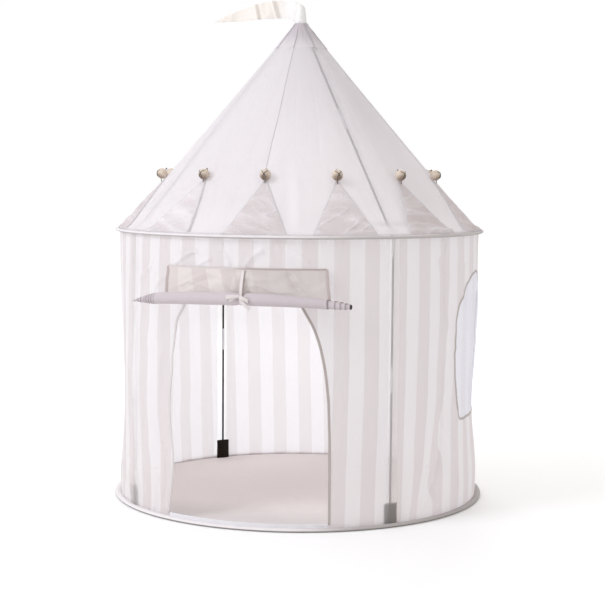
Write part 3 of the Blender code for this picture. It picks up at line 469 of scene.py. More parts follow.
def ferruled_material(name, low, high):
    """Black fibreglass with a metal ferrule between two heights."""
    nodes = Nodes(bpy.data.materials.new(name))
    place = nodes.place()
    height = nodes.split(place)[2]
    above = nodes.math("GREATER_THAN", height, low)
    metal = nodes.math("MULTIPLY", above, nodes.math("LESS_THAN", height, high))
    marks = nodes.noise(nodes.stretch(place, (1.0, 1.0, 0.04)), 900.0, 3.0)
    rod = nodes.mix(marks, (0.004, 0.003, 0.002), (0.012, 0.010, 0.009))
    silver = nodes.mix(marks, (0.60, 0.60, 0.61), (0.72, 0.72, 0.73))
    return nodes.show(nodes.add("BsdfPrincipled", {
        "Base Color": nodes.mix(metal, rod, silver),
        "Metallic": metal,
        "Specular IOR Level": 0.12,
        "Roughness": nodes.range(marks, 0.2, 0.8, 0.30, 0.42),
        "Normal": nodes.bump(marks, 0.00005),
    }))


def wood_material(name):
    """Pale sanded beech with rings and fine pores."""
    nodes = Nodes(bpy.data.materials.new(name))
    place = nodes.stretch(nodes.place(), (1.0, 1.0, 0.35))
    warp = nodes.noise(place, 60.0, 2.0)
    ring_inputs = {"Vector": place, "Scale": 90.0, "Distortion": 5.0, "Detail": 2.0}
    rings = nodes.add("TexWave", ring_inputs, wave_type="BANDS", bands_direction="X", wave_profile="SAW")
    pores = nodes.noise(nodes.stretch(place, (1.0, 1.0, 0.2)), 900.0, 2.0)
    color = nodes.mix(rings.outputs["Fac"], (0.56, 0.46, 0.36), (0.70, 0.61, 0.51))
    color = nodes.mix(nodes.range(warp, 0.3, 0.7), color, (0.64, 0.55, 0.46))
    color = nodes.mix(nodes.range(pores, 0.62, 0.75), color, (0.40, 0.31, 0.23))
    # The bead darkens towards its lower end: end grain and painted shade under it
    color = nodes.mix(nodes.math("MULTIPLY", nodes.attribute("shade"), 0.75), color, (0.16, 0.10, 0.07))
    return nodes.show(nodes.add("BsdfPrincipled", {
        "Base Color": color,
        "Roughness": nodes.range(pores, 0.3, 0.8, 0.45, 0.65),
        "Normal": nodes.bump(pores, 0.0001),
    }))


# Shapes of the wall and the roof


def between_poles(azimuth):
    return (1 + np.cos(4 * azimuth)) / 2


# Creases that the photograph shows: (azimuth, height) of both ends in degrees and metres, width, depth
CREASES = (
    (-22.9, 0.643, -14.9, 0.679, 0.0045, 0.0068),
    (-14.3, 0.643, -9.9, 0.661, 0.0045, 0.0054),
    (-6.7, 0.685, -4.0, 0.647, 0.0050, 0.0058),
    (0.4, 0.645, 5.9, 0.687, 0.0055, 0.0060),
    (12.0, 0.700, 19.0, 0.655, 0.0060, 0.0026),
    (-39.1, 0.593, -33.0, 0.640, 0.0060, 0.0046),
    (-33.0, 0.560, -27.0, 0.615, 0.0070, 0.0036),
    (-46.0, 0.520, -36.0, 0.560, 0.0080, 0.0036),
    (-30.1, 0.190, -27.8, 0.129, 0.0060, -0.0052),
    (-27.8, 0.129, -29.0, 0.030, 0.0060, -0.0050),
    (-32.5, 0.120, -31.9, 0.015, 0.0070, 0.0060),
    (-38.0, 0.110, -35.5, 0.010, 0.0060, 0.0046),
    (-44.0, 0.095, -40.0, 0.008, 0.0060, 0.0044),
    (-51.0, 0.120, -46.5, 0.010, 0.0070, 0.0050),
    (-57.0, 0.105, -52.5, 0.010, 0.0070, 0.0050),
    (62.9, 0.660, 67.3, 0.489, 0.0080, -0.0062),
    (67.3, 0.489, 66.0, 0.230, 0.0080, -0.0048),
    (66.0, 0.250, 57.0, 0.020, 0.0090, -0.0044),
    (76.0, 0.640, 72.5, 0.420, 0.0090, 0.0044),
    (58.0, 0.140, 63.0, 0.030, 0.0070, 0.0040),
    (72.0, 0.190, 74.0, 0.020, 0.0070, 0.0046),
)


def creases(azimuth, height):
    """Single sharp folds, each along a slightly curved line."""
    degrees = degrees_of(azimuth)
    metres = math.radians(1.0) * WALL_RADIUS
    total = np.zeros(np.broadcast(azimuth, height).shape)
    for start, low, end, high, width, depth in CREASES:
        across, up = (end - start) * metres, high - low
        length = math.hypot(across, up)
        x, y = (degrees - start) * metres, height - low
        along = (x * across + y * up) / length
        aside = (x * up - y * across) / length
        aside = aside + 0.05 * length * np.sin(math.pi * np.clip(along / length, 0, 1))
        within = smooth(along, -width, width) * smooth(length - along, -width, width)
        total += depth * np.exp(-np.abs(aside / width) ** 1.5) * within
    return total


def wall_folds(azimuth, height):
    """How far the slack cloth stands in or out at its folds."""
    t = (height - WALL_FOOT) / (WALL_TOP - WALL_FOOT)
    hold = np.clip(np.minimum(t, 1 - t) / 0.22, 0, 1) ** 0.8
    degrees = degrees_of(azimuth)
    lean = 0.10 * (0.5 - t)
    drift = azimuth + lean + 0.05 * round_noise(azimuth, 10, t * 1.6, 3)
    wide = round_noise(drift, 30, t * 1.1, 11)
    narrow = round_noise(drift, 62, t * 1.7 + 4.0, 23)
    crease = round_ridges(drift + 0.12 * t, 44, t * 2.4 + 9.0, 31) ** 5
    slack = 0.55 + 0.45 * round_noise(azimuth, 12, t * 1.3, 41)
    slack += 0.7 * bump(degrees, -36, 10) + 0.7 * bump(degrees, 68, 12) * smooth(1 - t, 0.1, 0.7)
    slack += 0.5 * bump(degrees, -112, 22)
    slack *= 1 - 0.80 * bump(degrees, 33, 11)
    pole = 1 - 0.7 * bump((degrees - 45 + 45) % 90 - 45, 0, 3.0)
    folds = 0.0042 * wide + 0.0020 * narrow + 0.0034 * crease
    foot = 0.0030 * round_ridges(drift, 58, t * 2.0 + 20.0, 37) ** 3 * bump(t, 0.06, 0.09)
    foot = foot * (0.35 + 0.65 * smooth(-degrees, 22, 34)) * (1 - 0.8 * bump(degrees, 33, 14))
    fine = 0.00045 * round_noise(drift, 240, t * 14, 43) + 0.0003 * round_noise(drift, 420, t * 26, 45)
    puckers = 0.0006 * np.cos(150 * azimuth + 3 * round_noise(azimuth, 20, 0, 5)) * bump(t, 1.0, 0.05)
    held = np.clip(np.minimum(t, 1 - t) / 0.012, 0, 1)
    return folds * slack * hold * pole + (creases(azimuth, height) + foot + fine) * held + puckers


def wall_radius(azimuth, height):
    """The middle of the wall's cloth, with its waist and folds."""
    below = height / WAIST_HEIGHT / 2
    above = (1 + (height - WAIST_HEIGHT) / (WALL_TOP - WAIST_HEIGHT)) / 2
    place = np.clip(np.where(height < WAIST_HEIGHT, below, above), 0, 1)
    degrees = degrees_of(azimuth)
    waist = WAIST_DEPTH * np.sin(math.pi * place) ** 3 * between_poles(azimuth)
    waist = waist * (1 - 0.75 * bump(degrees, 104, 20) * smooth(height, 0.28, 0.45))
    waist = waist * (1 + 1.25 * bump(degrees, -76, 20))
    return WALL_RADIUS - waist + wall_folds(azimuth, height)


def stripe_shift(azimuth, height):
    """How far the stripes lean and wander sideways, as a turn."""
    t = (height - WALL_FOOT) / (WALL_TOP - WALL_FOOT)
    degrees = degrees_of(azimuth)
    low = smooth(1 - t, 0.30, 1.0)
    lean = low * (0.8 + 1.2 * smooth(degrees, 50, 58))
    lean = lean * smooth(degrees, 15, 24) * smooth(100 - degrees, 0, 12)
    lean += 2.8 * bump(degrees, 53.5 + 50 * height, 3.6) * smooth(0.33 - height, 0.0, 0.10)
    sink = bump(height, 0.31, 0.16)
    left = smooth(-degrees, 8, 24) * smooth(degrees, -78, -62)
    lean += (0.5 + 2.7 * smooth(-degrees, 18, 42) * sink) * left
    behind = np.degrees(np.mod(azimuth, 2 * math.pi))
    lean += (2.1 * (1 - t) - 1.0) * smooth(behind, 165, 180) * smooth(300 - behind, 0, 40)
    wander = 0.30 * round_noise(azimuth, 24, t * 2.6, 57) + 0.25 * round_noise(azimuth, 9, t * 1.4, 61)
    jitter = 0.10 * round_noise(azimuth, 78, t * 16, 63)
    return np.radians(lean + (wander + jitter) * np.sin(math.pi * np.clip(t, 0, 1)) ** 0.5)


# The door's two sides as (height, across) from the sill to the head, pulled askew by the slack cloth
DOOR_LEFT = (
    (0.015, 0.2124), (0.062, 0.2064), (0.118, 0.200), (0.169, 0.200), (0.212, 0.208), (0.270, 0.215),
    (0.326, 0.2118), (0.371, 0.2038), (0.415, 0.1998), (0.460, 0.1935), (0.504, 0.185), (0.543, 0.160),
)
DOOR_RIGHT = (
    (0.015, 0.208), (0.120, 0.208), (0.228, 0.208), (0.3185, 0.205), (0.393, 0.197), (0.456, 0.1845),
    (0.499, 0.170), (0.546, 0.144),
)


def door_outline():
    """The door opening's edge as (across, up), from its left foot over to its right foot."""
    sides = []
    for table in (DOOR_LEFT, DOOR_RIGHT):
        up, out = np.array(table).T
        rise = np.linspace(DOOR_SILL, up[-1], 110)
        reach = soften(np.interp(rise, up, out), 9)
        lift = np.linspace(0.0, QUARTER, 40)[1:]
        head = reach[-1] * np.cos(lift), up[-1] + (DOOR_TOP - up[-1]) * np.sin(lift)
        sides.append((np.concatenate((reach, head[0])), np.concatenate((rise, head[1]))))
    left = np.stack((-sides[0][0], sides[0][1]), axis=1)
    right = np.stack(sides[1], axis=1)[::-1]
    return np.concatenate((left, right[1:]))


def soften(values, reach):
    """A running mean that keeps both ends."""
    kernel = np.hanning(reach + 2)[1:-1]
    padded = np.pad(values, reach // 2, mode="edge")
    mean = np.convolve(padded, kernel / kernel.sum(), mode="valid")
    share = np.clip(np.minimum(np.arange(len(values)), np.arange(len(values))[::-1]) / reach, 0, 1)
    return values + (mean - values) * share


# Half of a window as (height, across) from its bottom corner to its head
WINDOW_SIDE = (
    (0.2340, 0.076), (0.2375, 0.111), (0.265, 0.124), (0.305, 0.134), (0.361, 0.143), (0.406, 0.149),
    (0.445, 0.150), (0.496, 0.147), (0.543, 0.129), (0.585, 0.090), (0.608, 0.045), (0.616, 0.0),
)


def window_outline():
    """A window's edge as (across, up), closed, with wavering sides as hand-sewn cloth has."""
    up, out = np.array(WINDOW_SIDE).T
    steps = np.concatenate(([0.0], np.cumsum(np.hypot(np.diff(up), np.diff(out)))))
    fine = np.linspace(0.0, steps[-1], 120)
    half = np.stack((soften(np.interp(fine, steps, out), 9), soften(np.interp(fine, steps, up), 9)), axis=1)
    half[:, 0] *= 1 + 0.006 * np.sin(half[:, 1] * 75) * np.clip((0.45 - half[:, 1]) / 0.10, 0, 1)
    floor = np.linspace(-half[0, 0], half[0, 0], 36)[1:-1]
    bottom = np.stack((floor, WINDOW_BOTTOM + 0.0006 * np.sin(floor * 110)), axis=1)
    mirrored = half[::-1][1:] * (-1, 1)
    return np.concatenate((bottom, half, mirrored))


def to_wall(outline, facing):
    """Points of an outline (across, up) on the wall that faces that way, and the outward direction there."""
    azimuth = facing + np.arcsin(outline[:, 0] / WALL_RADIUS)
    radius = wall_radius(azimuth, outline[:, 1])
    return polar(radius, azimuth, outline[:, 1]), polar(1.0, azimuth, 0.0)


def roof_point(azimuth, along, lift=0.0):
    """A point of the roof's cloth, along metres up its slope, lifted off it by lift.

    Below 0 the cloth curves outwards to the ring, which it reaches at EAVE_ALONG."""
    share = np.clip(along / SLOPE_LENGTH, 0, 1)
    radius = CONE_RADIUS + (CROWN_RADIUS - CONE_RADIUS) * along / SLOPE_LENGTH
    height = CONE_HEIGHT + (CROWN_HEIGHT - CONE_HEIGHT) * along / SLOPE_LENGTH
    out = lift - ROOF_SAG * between_poles(azimuth) * np.sin(math.pi * share) * math.cos(CONE_ANGLE)
    out = out + EAVE_OUT * np.exp(-(along - EAVE_ALONG) / FLARE_REACH) + roof_folds(azimuth, along)
    return polar(radius + out * math.cos(CONE_ANGLE), azimuth, height + out * math.sin(CONE_ANGLE))


def roof_folds(azimuth, along):
    """Slack in the roof's cloth: long folds that fade towards the crown and the ring."""
    share = np.clip(along / SLOPE_LENGTH, 0, 1)
    held = smooth(along, EAVE_ALONG, EAVE_ALONG + 0.05)
    low = (0.3 + np.sin(math.pi * np.clip(share * 1.3, 0, 1))) * (1 - share) * held
    long = round_noise(azimuth, 26, share * 1.2, 71)
    fine = round_noise(azimuth, 60, share * 2.5, 73)
    crease = round_ridges(azimuth, 34, share * 1.5, 79) ** 6
    degrees = degrees_of(azimuth)
    buckle = bump(degrees, 16.2 - 6 * share, 1.6 + 2.0 * share) * smooth(0.34 - share, 0.0, 0.2) * held
    hollow = bump(degrees, 13.0 - 6 * share, 1.8 + 2.0 * share) * smooth(0.34 - share, 0.0, 0.2) * held
    weave = 0.0003 * round_noise(azimuth, 300, along * 40, 81) * (1 - share) * held
    return low * (0.0020 * long + 0.0007 * fine - 0.0014 * crease) + 0.0028 * buckle - 0.0030 * hollow + weave


# Fitting cloth to an opening


def inside_outline(across, up, outline):
    """Whether points lie inside a closed outline of (across, up)."""
    start, end = outline, np.roll(outline, -1, axis=0)
    inside = np.zeros(across.shape, bool)
    for (x1, y1), (x2, y2) in zip(start, end):
        if y1 == y2:
            continue
        crosses = (y1 > up) != (y2 > up)
        inside ^= crosses & (across < (x2 - x1) * (up - y1) / (y2 - y1) + x1)
    return inside


def nearest_on(points, outline):
    """The nearest place on a closed outline for each of some points."""
    start, end = outline, np.roll(outline, -1, axis=0)
    step = end - start
    length = np.maximum((step**2).sum(1), 1e-12)
    share = np.clip(((points[:, None] - start[None]) * step[None]).sum(2) / length[None], 0, 1)
    places = start[None] + share[..., None] * step[None]
    away = ((places - points[:, None]) ** 2).sum(2)
    return places[np.arange(len(points)), away.argmin(1)]


def open_cloth(across, up, outline):
    """Cut an opening into a grid of cloth: which cells stay, with the cut edge moved onto the outline."""
    middle_across = (across[:-1, :-1] + across[1:, 1:]) / 2
    middle_up = (up[:-1, :-1] + up[1:, 1:]) / 2
    stays = ~inside_outline(middle_across, middle_up, outline)
    beside_kept = np.zeros(across.shape, bool)
    beside_cut = np.zeros(across.shape, bool)
    for rows in (slice(None, -1), slice(1, None)):
        for columns in (slice(None, -1), slice(1, None)):
            beside_kept[rows, columns] |= stays
            beside_cut[rows, columns] |= ~stays
    edge = beside_kept & beside_cut
    moved = nearest_on(np.stack((across[edge], up[edge]), axis=1), outline)
    across, up = across.copy(), up.copy()
    across[edge], up[edge] = moved[:, 0], moved[:, 1]
    return across, up, stays


# The colours that the photograph shows under an even light
# The darker copies of the pennant, floor, sleeve and lining colours paint shade, and the flap hem's paler
# copy paints light

WHITE = (0.948, 0.922, 0.912)
BEIGE = (0.832, 0.776, 0.756)
ROOF = (0.915, 0.887, 0.905)
CAP = (0.660, 0.610, 0.645)
PENNANT = (0.900, 0.868, 0.890)
PENNANT_PAINTED_SHADE = (0.640, 0.565, 0.560)
BINDING = (0.500, 0.445, 0.430)
BINDING_PALE = (0.740, 0.700, 0.700)
FLOOR = (0.925, 0.845, 0.815)
FLOOR_PAINTED_SHADE = (0.735, 0.684, 0.668)
NET = (0.890, 0.905, 0.985)
SLEEVE = (0.890, 0.854, 0.864)
SLEEVE_PAINTED_SHADE = (0.330, 0.300, 0.290)
ROOF_SLEEVE = (0.830, 0.800, 0.820)
ROOF_SLEEVE_PAINTED_SHADE = (0.520, 0.480, 0.470)
FLAG = (0.930, 0.885, 0.840)
FLAP = (0.800, 0.745, 0.725)
FLAP_STRIPE = (0.730, 0.660, 0.645)
FLAP_HEM = (0.500, 0.425, 0.415)
FLAP_HEM_PAINTED_LIGHT = (0.720, 0.670, 0.660)
LINING = (0.680, 0.610, 0.640)
LINING_PAINTED_SHADE = (0.060, 0.050, 0.048)

wall_cloth = cloth_material(
    "striped_cloth", WHITE, BEIGE, "stripe", through=0.46, clear=0.05, near_clear=0.62,
    through_color=(0.870, 0.880, 0.945), through_share=0.60,
)
# The roof's darker second colour paints shade on the gores
roof_cloth = cloth_material(
    "roof_cloth", ROOF, scaled(ROOF, 0.86), "shade", through=0.42, clear=0.03, near_clear=0.30
)
cap_cloth = cloth_material(
    "cap_cloth", CAP, scaled(ROOF, 0.89), "shade", through=0.25, crinkle=0.0016, stitches=(0.0850, 0.0030)
)
cap_seam = cloth_material("cap_seam", scaled(CAP, 0.72), through=0.08, weave=0.0006)
seam_cloth = cloth_material("seam_cloth", scaled(ROOF, 0.76), through=0.20, weave=0.0006)
pennant_cloth = cloth_material(
    "pennant_cloth", PENNANT, PENNANT_PAINTED_SHADE, "shade", through=0.25, clear=0.03, crinkle=0.0018, dark_edge="hem_and_shade"
)
binding_cloth = cloth_material(
    "binding_cloth", BINDING, BINDING_PALE, "shade", through=0.05, weave=0.0007, stitches=(0.0022, 0.0028)
)
floor_cloth = cloth_material(
    "floor_cloth", FLOOR, FLOOR_PAINTED_SHADE, "shade", through=0.05, weave=0.0011, crinkle=0.0025
)
net_thread = cloth_material("net_thread", NET, through=0.25, weave=0.0005, crinkle=0.0002)
sleeve_cloth = cloth_material(
    "sleeve_cloth", SLEEVE, SLEEVE_PAINTED_SHADE, "shade", through=0.08, weave=0.0008, crinkle=0.0014
)
roof_sleeve_cloth = cloth_material(
    "roof_sleeve_cloth", ROOF_SLEEVE, ROOF_SLEEVE_PAINTED_SHADE, "shade", through=0.08, weave=0.0008, crinkle=0.0014
)
flag_cloth = cloth_material(
    "flag_cloth", FLAG, (0.965, 0.955, 0.945), "shade", through=0.18, weave=0.0012, crinkle=0.0016
)
flap_cloth = cloth_material(
    "flap_cloth", FLAP, FLAP_STRIPE, "stripe", through=0.22, clear=0.02, dark_edge="hem_and_shade"
)
flap_hem = cloth_material(
    "flap_hem", FLAP_HEM, FLAP_HEM_PAINTED_LIGHT, "shade", through=0.05, weave=0.0007, stitches=(0.0026, 0.0028)
)
roll_cloth = cloth_material("roll_cloth", LINING, LINING_PAINTED_SHADE, "shade", through=0.10, crinkle=0.0014)
sill_cloth = cloth_material(
    "sill_cloth", (0.945, 0.935, 0.965), through=0.20, weave=0.0008, stitches=(0.0052, 0.0028)
)
ribbon_cloth = cloth_material("ribbon_cloth", (0.750, 0.690, 0.688), through=0.05, weave=0.0006)
nylon = solid_material(
    "pocket_nylon", (0.014, 0.008, 0.004), 0.62, grain_scale=700.0, relief=0.0002, sheen=0.05, specular=0.15
)
wire_metal = solid_material("hoop_wire", (0.50, 0.51, 0.53), 0.38, metallic=1.0, grain_scale=500.0)
elbow_metal = solid_material(
    "elbow_metal", (0.66, 0.66, 0.67), 0.34, metallic=1.0, grain_scale=600.0, grain=(1.0, 1.0, 0.1),
    contrast=0.10,
)
rod_black = solid_material(
    "pole_rod", (0.010, 0.008, 0.007), 0.45, grain=(1.0, 1.0, 0.05), grain_scale=700.0, specular=0.12
)
hub_plastic = solid_material("hub_plastic", (0.050, 0.050, 0.052), 0.48, grain_scale=400.0)
cord_dark = solid_material("bead_cord", (0.090, 0.070, 0.055), 0.75, grain_scale=1500.0, contrast=0.4)
bead_wood = wood_material("bead_wood")


# Walls: four panels, seamed at the poles

POCKET_HALF = 0.0200
POCKET_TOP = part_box("front_right_pocket")[1].z
WINDOWS = (("right", QUARTER), ("left", -QUARTER))
NET_LIFT = 0.00025


def beside_pole(azimuth):
    """How far along the wall a place lies from the nearest pole's line, in metres."""
    return (np.mod(azimuth, QUARTER) - QUARTER / 2) * WALL_RADIUS


def near_wall(azimuth, height):
    """Where the wall's cloth rests on a pole's pocket (1) or on a pole (less), and lets it show."""
    aside = np.abs(beside_pole(azimuth))
    degrees = degrees_of(azimuth)
    covered = 1 - 0.72 * bump(degrees, -45, 12)
    pocket = smooth(POCKET_HALF + 0.0035 - aside, 0.0, 0.0035)
    pocket = pocket * smooth(POCKET_TOP + 0.0030 - height, 0.0, 0.0030)
    pole = 0.55 * smooth(0.0170 - aside, 0.0, 0.0050)
    return np.maximum(0.74 * pocket, pole) * covered


def near_roof(azimuth, along):
    """The same for the roof, where only the front right pole lies against the cloth."""
    degrees = degrees_of(azimuth)
    return bump(degrees, 46.5, 5.0) ** 0.5 * smooth(along, 0.0, 0.02)


def stripe_place(azimuth, height):
    """The stripes' own coordinate: each whole number starts a beige stripe."""
    return (azimuth + STRIPE_TURN + stripe_shift(azimuth, height)) * STRIPE_PAIRS / (2 * math.pi)


def build_walls():
    openings = {"front": door_outline(), "right": window_outline(), "left": window_outline()}
    turns = np.linspace(-QUARTER / 2, QUARTER / 2, 241)
    heights = np.linspace(WALL_FOOT, WALL_TOP, 211)
    for number, side in enumerate(("front", "right", "back", "left")):
        across, up = np.meshgrid(WALL_RADIUS * np.sin(turns), heights)
        stays = None
        if side in openings:
            across, up, stays = open_cloth(across, up, openings[side])
        azimuth = number * QUARTER + np.arcsin(across / WALL_RADIUS)
        points = polar(wall_radius(azimuth, up), azimuth, up)
        flat = np.stack((azimuth * WALL_RADIUS, up), axis=-1)
        marks = {"stripe": stripe_place(azimuth, up), "near": near_wall(azimuth, up)}
        panel = grid_object(f"wall_{side}_cloth", points, flat, stays, extra=marks)
        dress(panel, wall_cloth, replaces=("wall_" + side,))


def build_bindings():
    """The tape folded over the cut edge of the door and of each window, and the one along the sill."""
    line, outwards = to_wall(door_outline(), 0.0)
    # Painted light: the door's binding is paler on the left, where the light falls
    paler = lambda x, y, z: smooth(-x, -0.05, 0.12)
    obj = tape("door_binding_tape", line, outwards, BINDING_TAPE, corners=12, shade=paler)
    dress(obj, binding_cloth, replaces=("door_binding",))
    turns = np.linspace(-1, 1, 121) * (DOOR_LEFT[0][1] / WALL_RADIUS)
    height = np.full(turns.shape, (WALL_FOOT + DOOR_SILL) / 2 + 0.0012)
    line = polar(wall_radius(turns, height) + 0.0008, turns, height)
    size = (DOOR_SILL - WALL_FOOT + 0.0030, SILL_THICKNESS)
    obj = tape("door_sill_tape", line, polar(1.0, turns, 0.0), size, corners=12)
    dress(obj, sill_cloth)
    for side, facing in WINDOWS:
        line, outwards = to_wall(window_outline(), facing)
        name = "window_binding_tape_" + side
        obj = tape(name, line, outwards, BINDING_TAPE, closed=True, corners=12, shade=0.25)
        dress(obj, binding_cloth, replaces=("window_binding_" + side,))


def net_depth(across, up):
    """The slack of a window's net: shallow upright folds that hang from its head."""
    share = (up - WINDOW_BOTTOM) / (WINDOW_TOP - WINDOW_BOTTOM)
    inset = 1 - np.clip(np.abs(across) / WINDOW_HALF, 0, 1) ** 4
    hold = np.clip(np.minimum(share, 1 - share) * 5, 0, 1) * inset
    folds = 0.0042 * noise(across * 34 + 0.7 * share, share * 0.8, 91)
    folds = folds + 0.0018 * noise(across * 80, share * 1.2, 93)
    return (folds + 0.0012) * hold


def build_nets():
    """Each window's net: crossing threads with gaps, inside the window's outline."""
    outline = window_outline()
    runs = []
    for x in np.arange(-WINDOW_HALF + NET_PITCH / 2, WINDOW_HALF, NET_PITCH):
        line = np.stack((np.full(90, x), np.linspace(WINDOW_BOTTOM, WINDOW_TOP, 90)), axis=1)
        runs.append((line, (NET_STRAND / 2, 0.0), -NET_LIFT))
    for z in np.arange(WINDOW_BOTTOM + NET_PITCH / 2, WINDOW_TOP, NET_PITCH):
        line = np.stack((np.linspace(-WINDOW_HALF, WINDOW_HALF, 70), np.full(70, z)), axis=1)
        runs.append((line, (0.0, NET_STRAND / 2), NET_LIFT))
    for side, facing in WINDOWS:
        points, quads, flat = [], [], []
        for line, aside, lift in runs:
            line = line[inside_outline(line[:, 0], line[:, 1], outline)]
            first, count = len(points), len(line)
            if count < 3:
                continue
            for edge in (line - aside, line + aside):
                azimuth = facing + np.arcsin(edge[:, 0] / WALL_RADIUS)
                radius = wall_radius(azimuth, edge[:, 1]) + net_depth(edge[:, 0], edge[:, 1]) + lift
                points.extend(polar(radius, azimuth, edge[:, 1]).tolist())
            flat.extend(line.tolist() * 2)
            for near in range(first, first + count - 1):
                quads.append((near, near + 1, near + count + 1, near + count))
        mesh = bpy.data.meshes.new("net_" + side)
        mesh.from_pydata(points, [], quads)
        mesh.shade_smooth()
        flat = np.pad(np.array(flat), ((0, 0), (0, 1)))
        mesh.attributes.new("cloth", "FLOAT_VECTOR", "POINT").data.foreach_set("vector", flat.ravel())
        net = add_object("window_net_mesh_" + side, mesh)
        dress(net, net_thread, replaces=("window_net_" + side,))


# Hoops' sleeves and the groundsheet

SLEEVE_PUCKERS = 0.0002
SLEEVE_SIDES = 512


def sleeve(name, outer, low, high, material):
    """A cloth sleeve sewn round a wire hoop: a rounded roll outside and a flat seam towards the wall."""
    inner = WALL_RADIUS + 0.0004
    middle, half = (low + high) / 2, (high - low) / 2
    centre = outer - 0.52 * (outer - inner)
    profile = []
    for turn in full_turn(26):
        cosine, sine = math.cos(turn), math.sin(turn)
        reach = outer - centre if cosine > 0 else centre - inner
        power = 0.85 if cosine > 0 else 0.5
        across = centre + reach * math.copysign(abs(cosine) ** power, cosine)
        up = middle + half * math.copysign(abs(sine) ** 0.75, sine)
        if across < centre:
            up = middle + (up - middle) * (1 - 0.35 * (centre - across) / (centre - inner))
        profile.append((across, up))
    profile = np.array(profile)
    turns = full_turn(SLEEVE_SIDES)
    radius, height = (np.repeat(profile[:, axis:axis + 1], SLEEVE_SIDES, axis=1) for axis in (0, 1))
    ruck = round_noise(turns, 150, 0.0, 7) * 0.6 + round_noise(turns, 60, 3.0, 8) * 0.6
    outside = np.clip((profile[:, :1] - centre) / (outer - centre), 0, 1)
    radius -= outside * SLEEVE_PUCKERS * (1 + ruck[None])
    height = middle + (height - middle) * (1 - 0.05 * (1 + ruck[None]) * outside)
    steps = np.concatenate(([0], np.cumsum(np.linalg.norm(np.diff(profile, axis=0), axis=1))))
    flat = np.stack(np.meshgrid(turns * outer, steps), axis=-1)
    # Painted shade: darker over the lower outer half of the roll, and on the tent's right side, away from the
    # light
    painted_sleeve_shade = smooth(middle - 0.05 * half - height, 0.0, 0.30 * half) * smooth(radius - centre, -0.004, 0.0)
    degrees = degrees_of(turns)[None]
    painted_sleeve_shade = np.maximum(painted_sleeve_shade, 0.70 * smooth(degrees, 12, 36) * smooth(170 - degrees, 0, 60))
    points = polar(radius, turns[None], height)
    obj = grid_object(name + "_cloth", points, flat, around=True, along=True, extra={"shade": painted_sleeve_shade})
    dress(obj, material, replaces=(name,))


def build_sleeves():
    low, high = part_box("base_sleeve")
    sleeve("base_sleeve", BASE_RADIUS, low.z, high.z, sleeve_cloth)
    sleeve("top_sleeve", RING_RADIUS, RING_LOW, RING_TOP, roof_sleeve_cloth)


def build_floor():
    """The groundsheet: a disc with the soft creases that folding left in it."""
    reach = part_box("floor_sheet")[1].x - 0.0006
    rings = np.linspace(0.0, 1.0, 90)[1:] ** 0.9 * reach
    turns = full_turn(360)
    radius, azimuth = np.meshgrid(rings, turns, indexing="ij")
    x, y = radius * np.sin(azimuth), -radius * np.cos(azimuth)
    inwards = np.clip((reach - radius) / 0.05, 0, 1)
    creases = 0.0016 * ridged(x * 5 + 0.4 * noise(x * 4, y * 4, 5), y * 5, 15) ** 8
    creases += 0.0010 * ridged(x * 2.2 + y * 4.1 + 7, y * 2.0 - x * 1.1, 16) ** 10
    swell = 0.0007 * (1 + noise(x * 6, y * 6, 17))
    height = 0.0012 + (creases + swell) * inwards + 0.0012 * (1 - inwards)
    points = np.stack((x, y, height), axis=-1)
    # Painted shade: the groundsheet darkens towards the door
    painted_floor_shade = smooth(-y, 0.20, 0.42)
    disc = grid_object("groundsheet_cloth", points, points[..., :2], around=True, extra={"shade": painted_floor_shade})
    close_rims(disc, lambda edge: edge.verts[0].co.xy.length < reach / 2, turn_out=False)
    disc.data.shade_smooth()
    dress(disc, floor_cloth, replaces=("floor_sheet",))


# Roof

# How far the roof's seams wander, in degrees, by the share of the way up
SEAM_DRIFT = ((0.0, 1.3), (0.2, 2.1), (0.4, 1.7), (0.55, 1.9), (0.8, 1.0), (1.0, 1.0))


def seam_turn(share):
    """How far a roof's seam wanders sideways on its way up, as a turn."""
    return np.radians(np.interp(np.clip(share, 0, 1), *np.array(SEAM_DRIFT).T))


# How much painted shade greys each gore at its foot, and how much more at its head, from front right to front
# left
GORE_PAINTED_SHADE = ((0.0, 0.90), (0.10, 0.80), (0.20, 0.70), (0.32, 0.28))


def roof_normal(azimuth):
    return polar(math.cos(CONE_ANGLE), azimuth, math.sin(CONE_ANGLE))


def build_roof():
    """Four gores, each with the seam along its first side."""
    slope = np.linspace(0, 1, 150) ** 1.05 * SLOPE_LENGTH
    along = np.concatenate((np.linspace(EAVE_ALONG, 0, 10)[:-1], slope))
    drift = soften(seam_turn(along / SLOPE_LENGTH), 15)
    for number, name in enumerate(CORNERS):
        share, up = np.meshgrid(np.linspace(0, QUARTER, 121), along)
        azimuth = share + drift[:, None] + number * QUARTER
        flat = np.stack((azimuth * (CONE_RADIUS * (1 - up / SLOPE_LENGTH) + 0.05), up), axis=-1)
        foot, head = GORE_PAINTED_SHADE[number]
        degrees = np.degrees(azimuth)
        # Painted shade: greyer beyond the front right pole, away from the light, and up towards the crown
        painted_shade_beyond_pole = 0.50 * smooth(degrees, 30, 48) * smooth(110 - degrees, 0, 40)
        tone = (foot + painted_shade_beyond_pole + head * smooth(up / SLOPE_LENGTH, 0.15, 0.85)) * smooth(up, 0.0, 0.10)
        marks = {"near": near_roof(azimuth, up), "shade": tone}
        gore = grid_object("roof_gore_" + name, roof_point(azimuth, up), flat, extra=marks)
        dress(gore, roof_cloth, replaces=("roof_" + name,))
        seam = roof_point(drift + number * QUARTER, along, 0.0005)
        outwards = roof_normal(drift + number * QUARTER)
        strip = tape("roof_seam_" + name, seam[2:], outwards[2:], ROOF_SEAM_TAPE)
        dress(strip, seam_cloth)


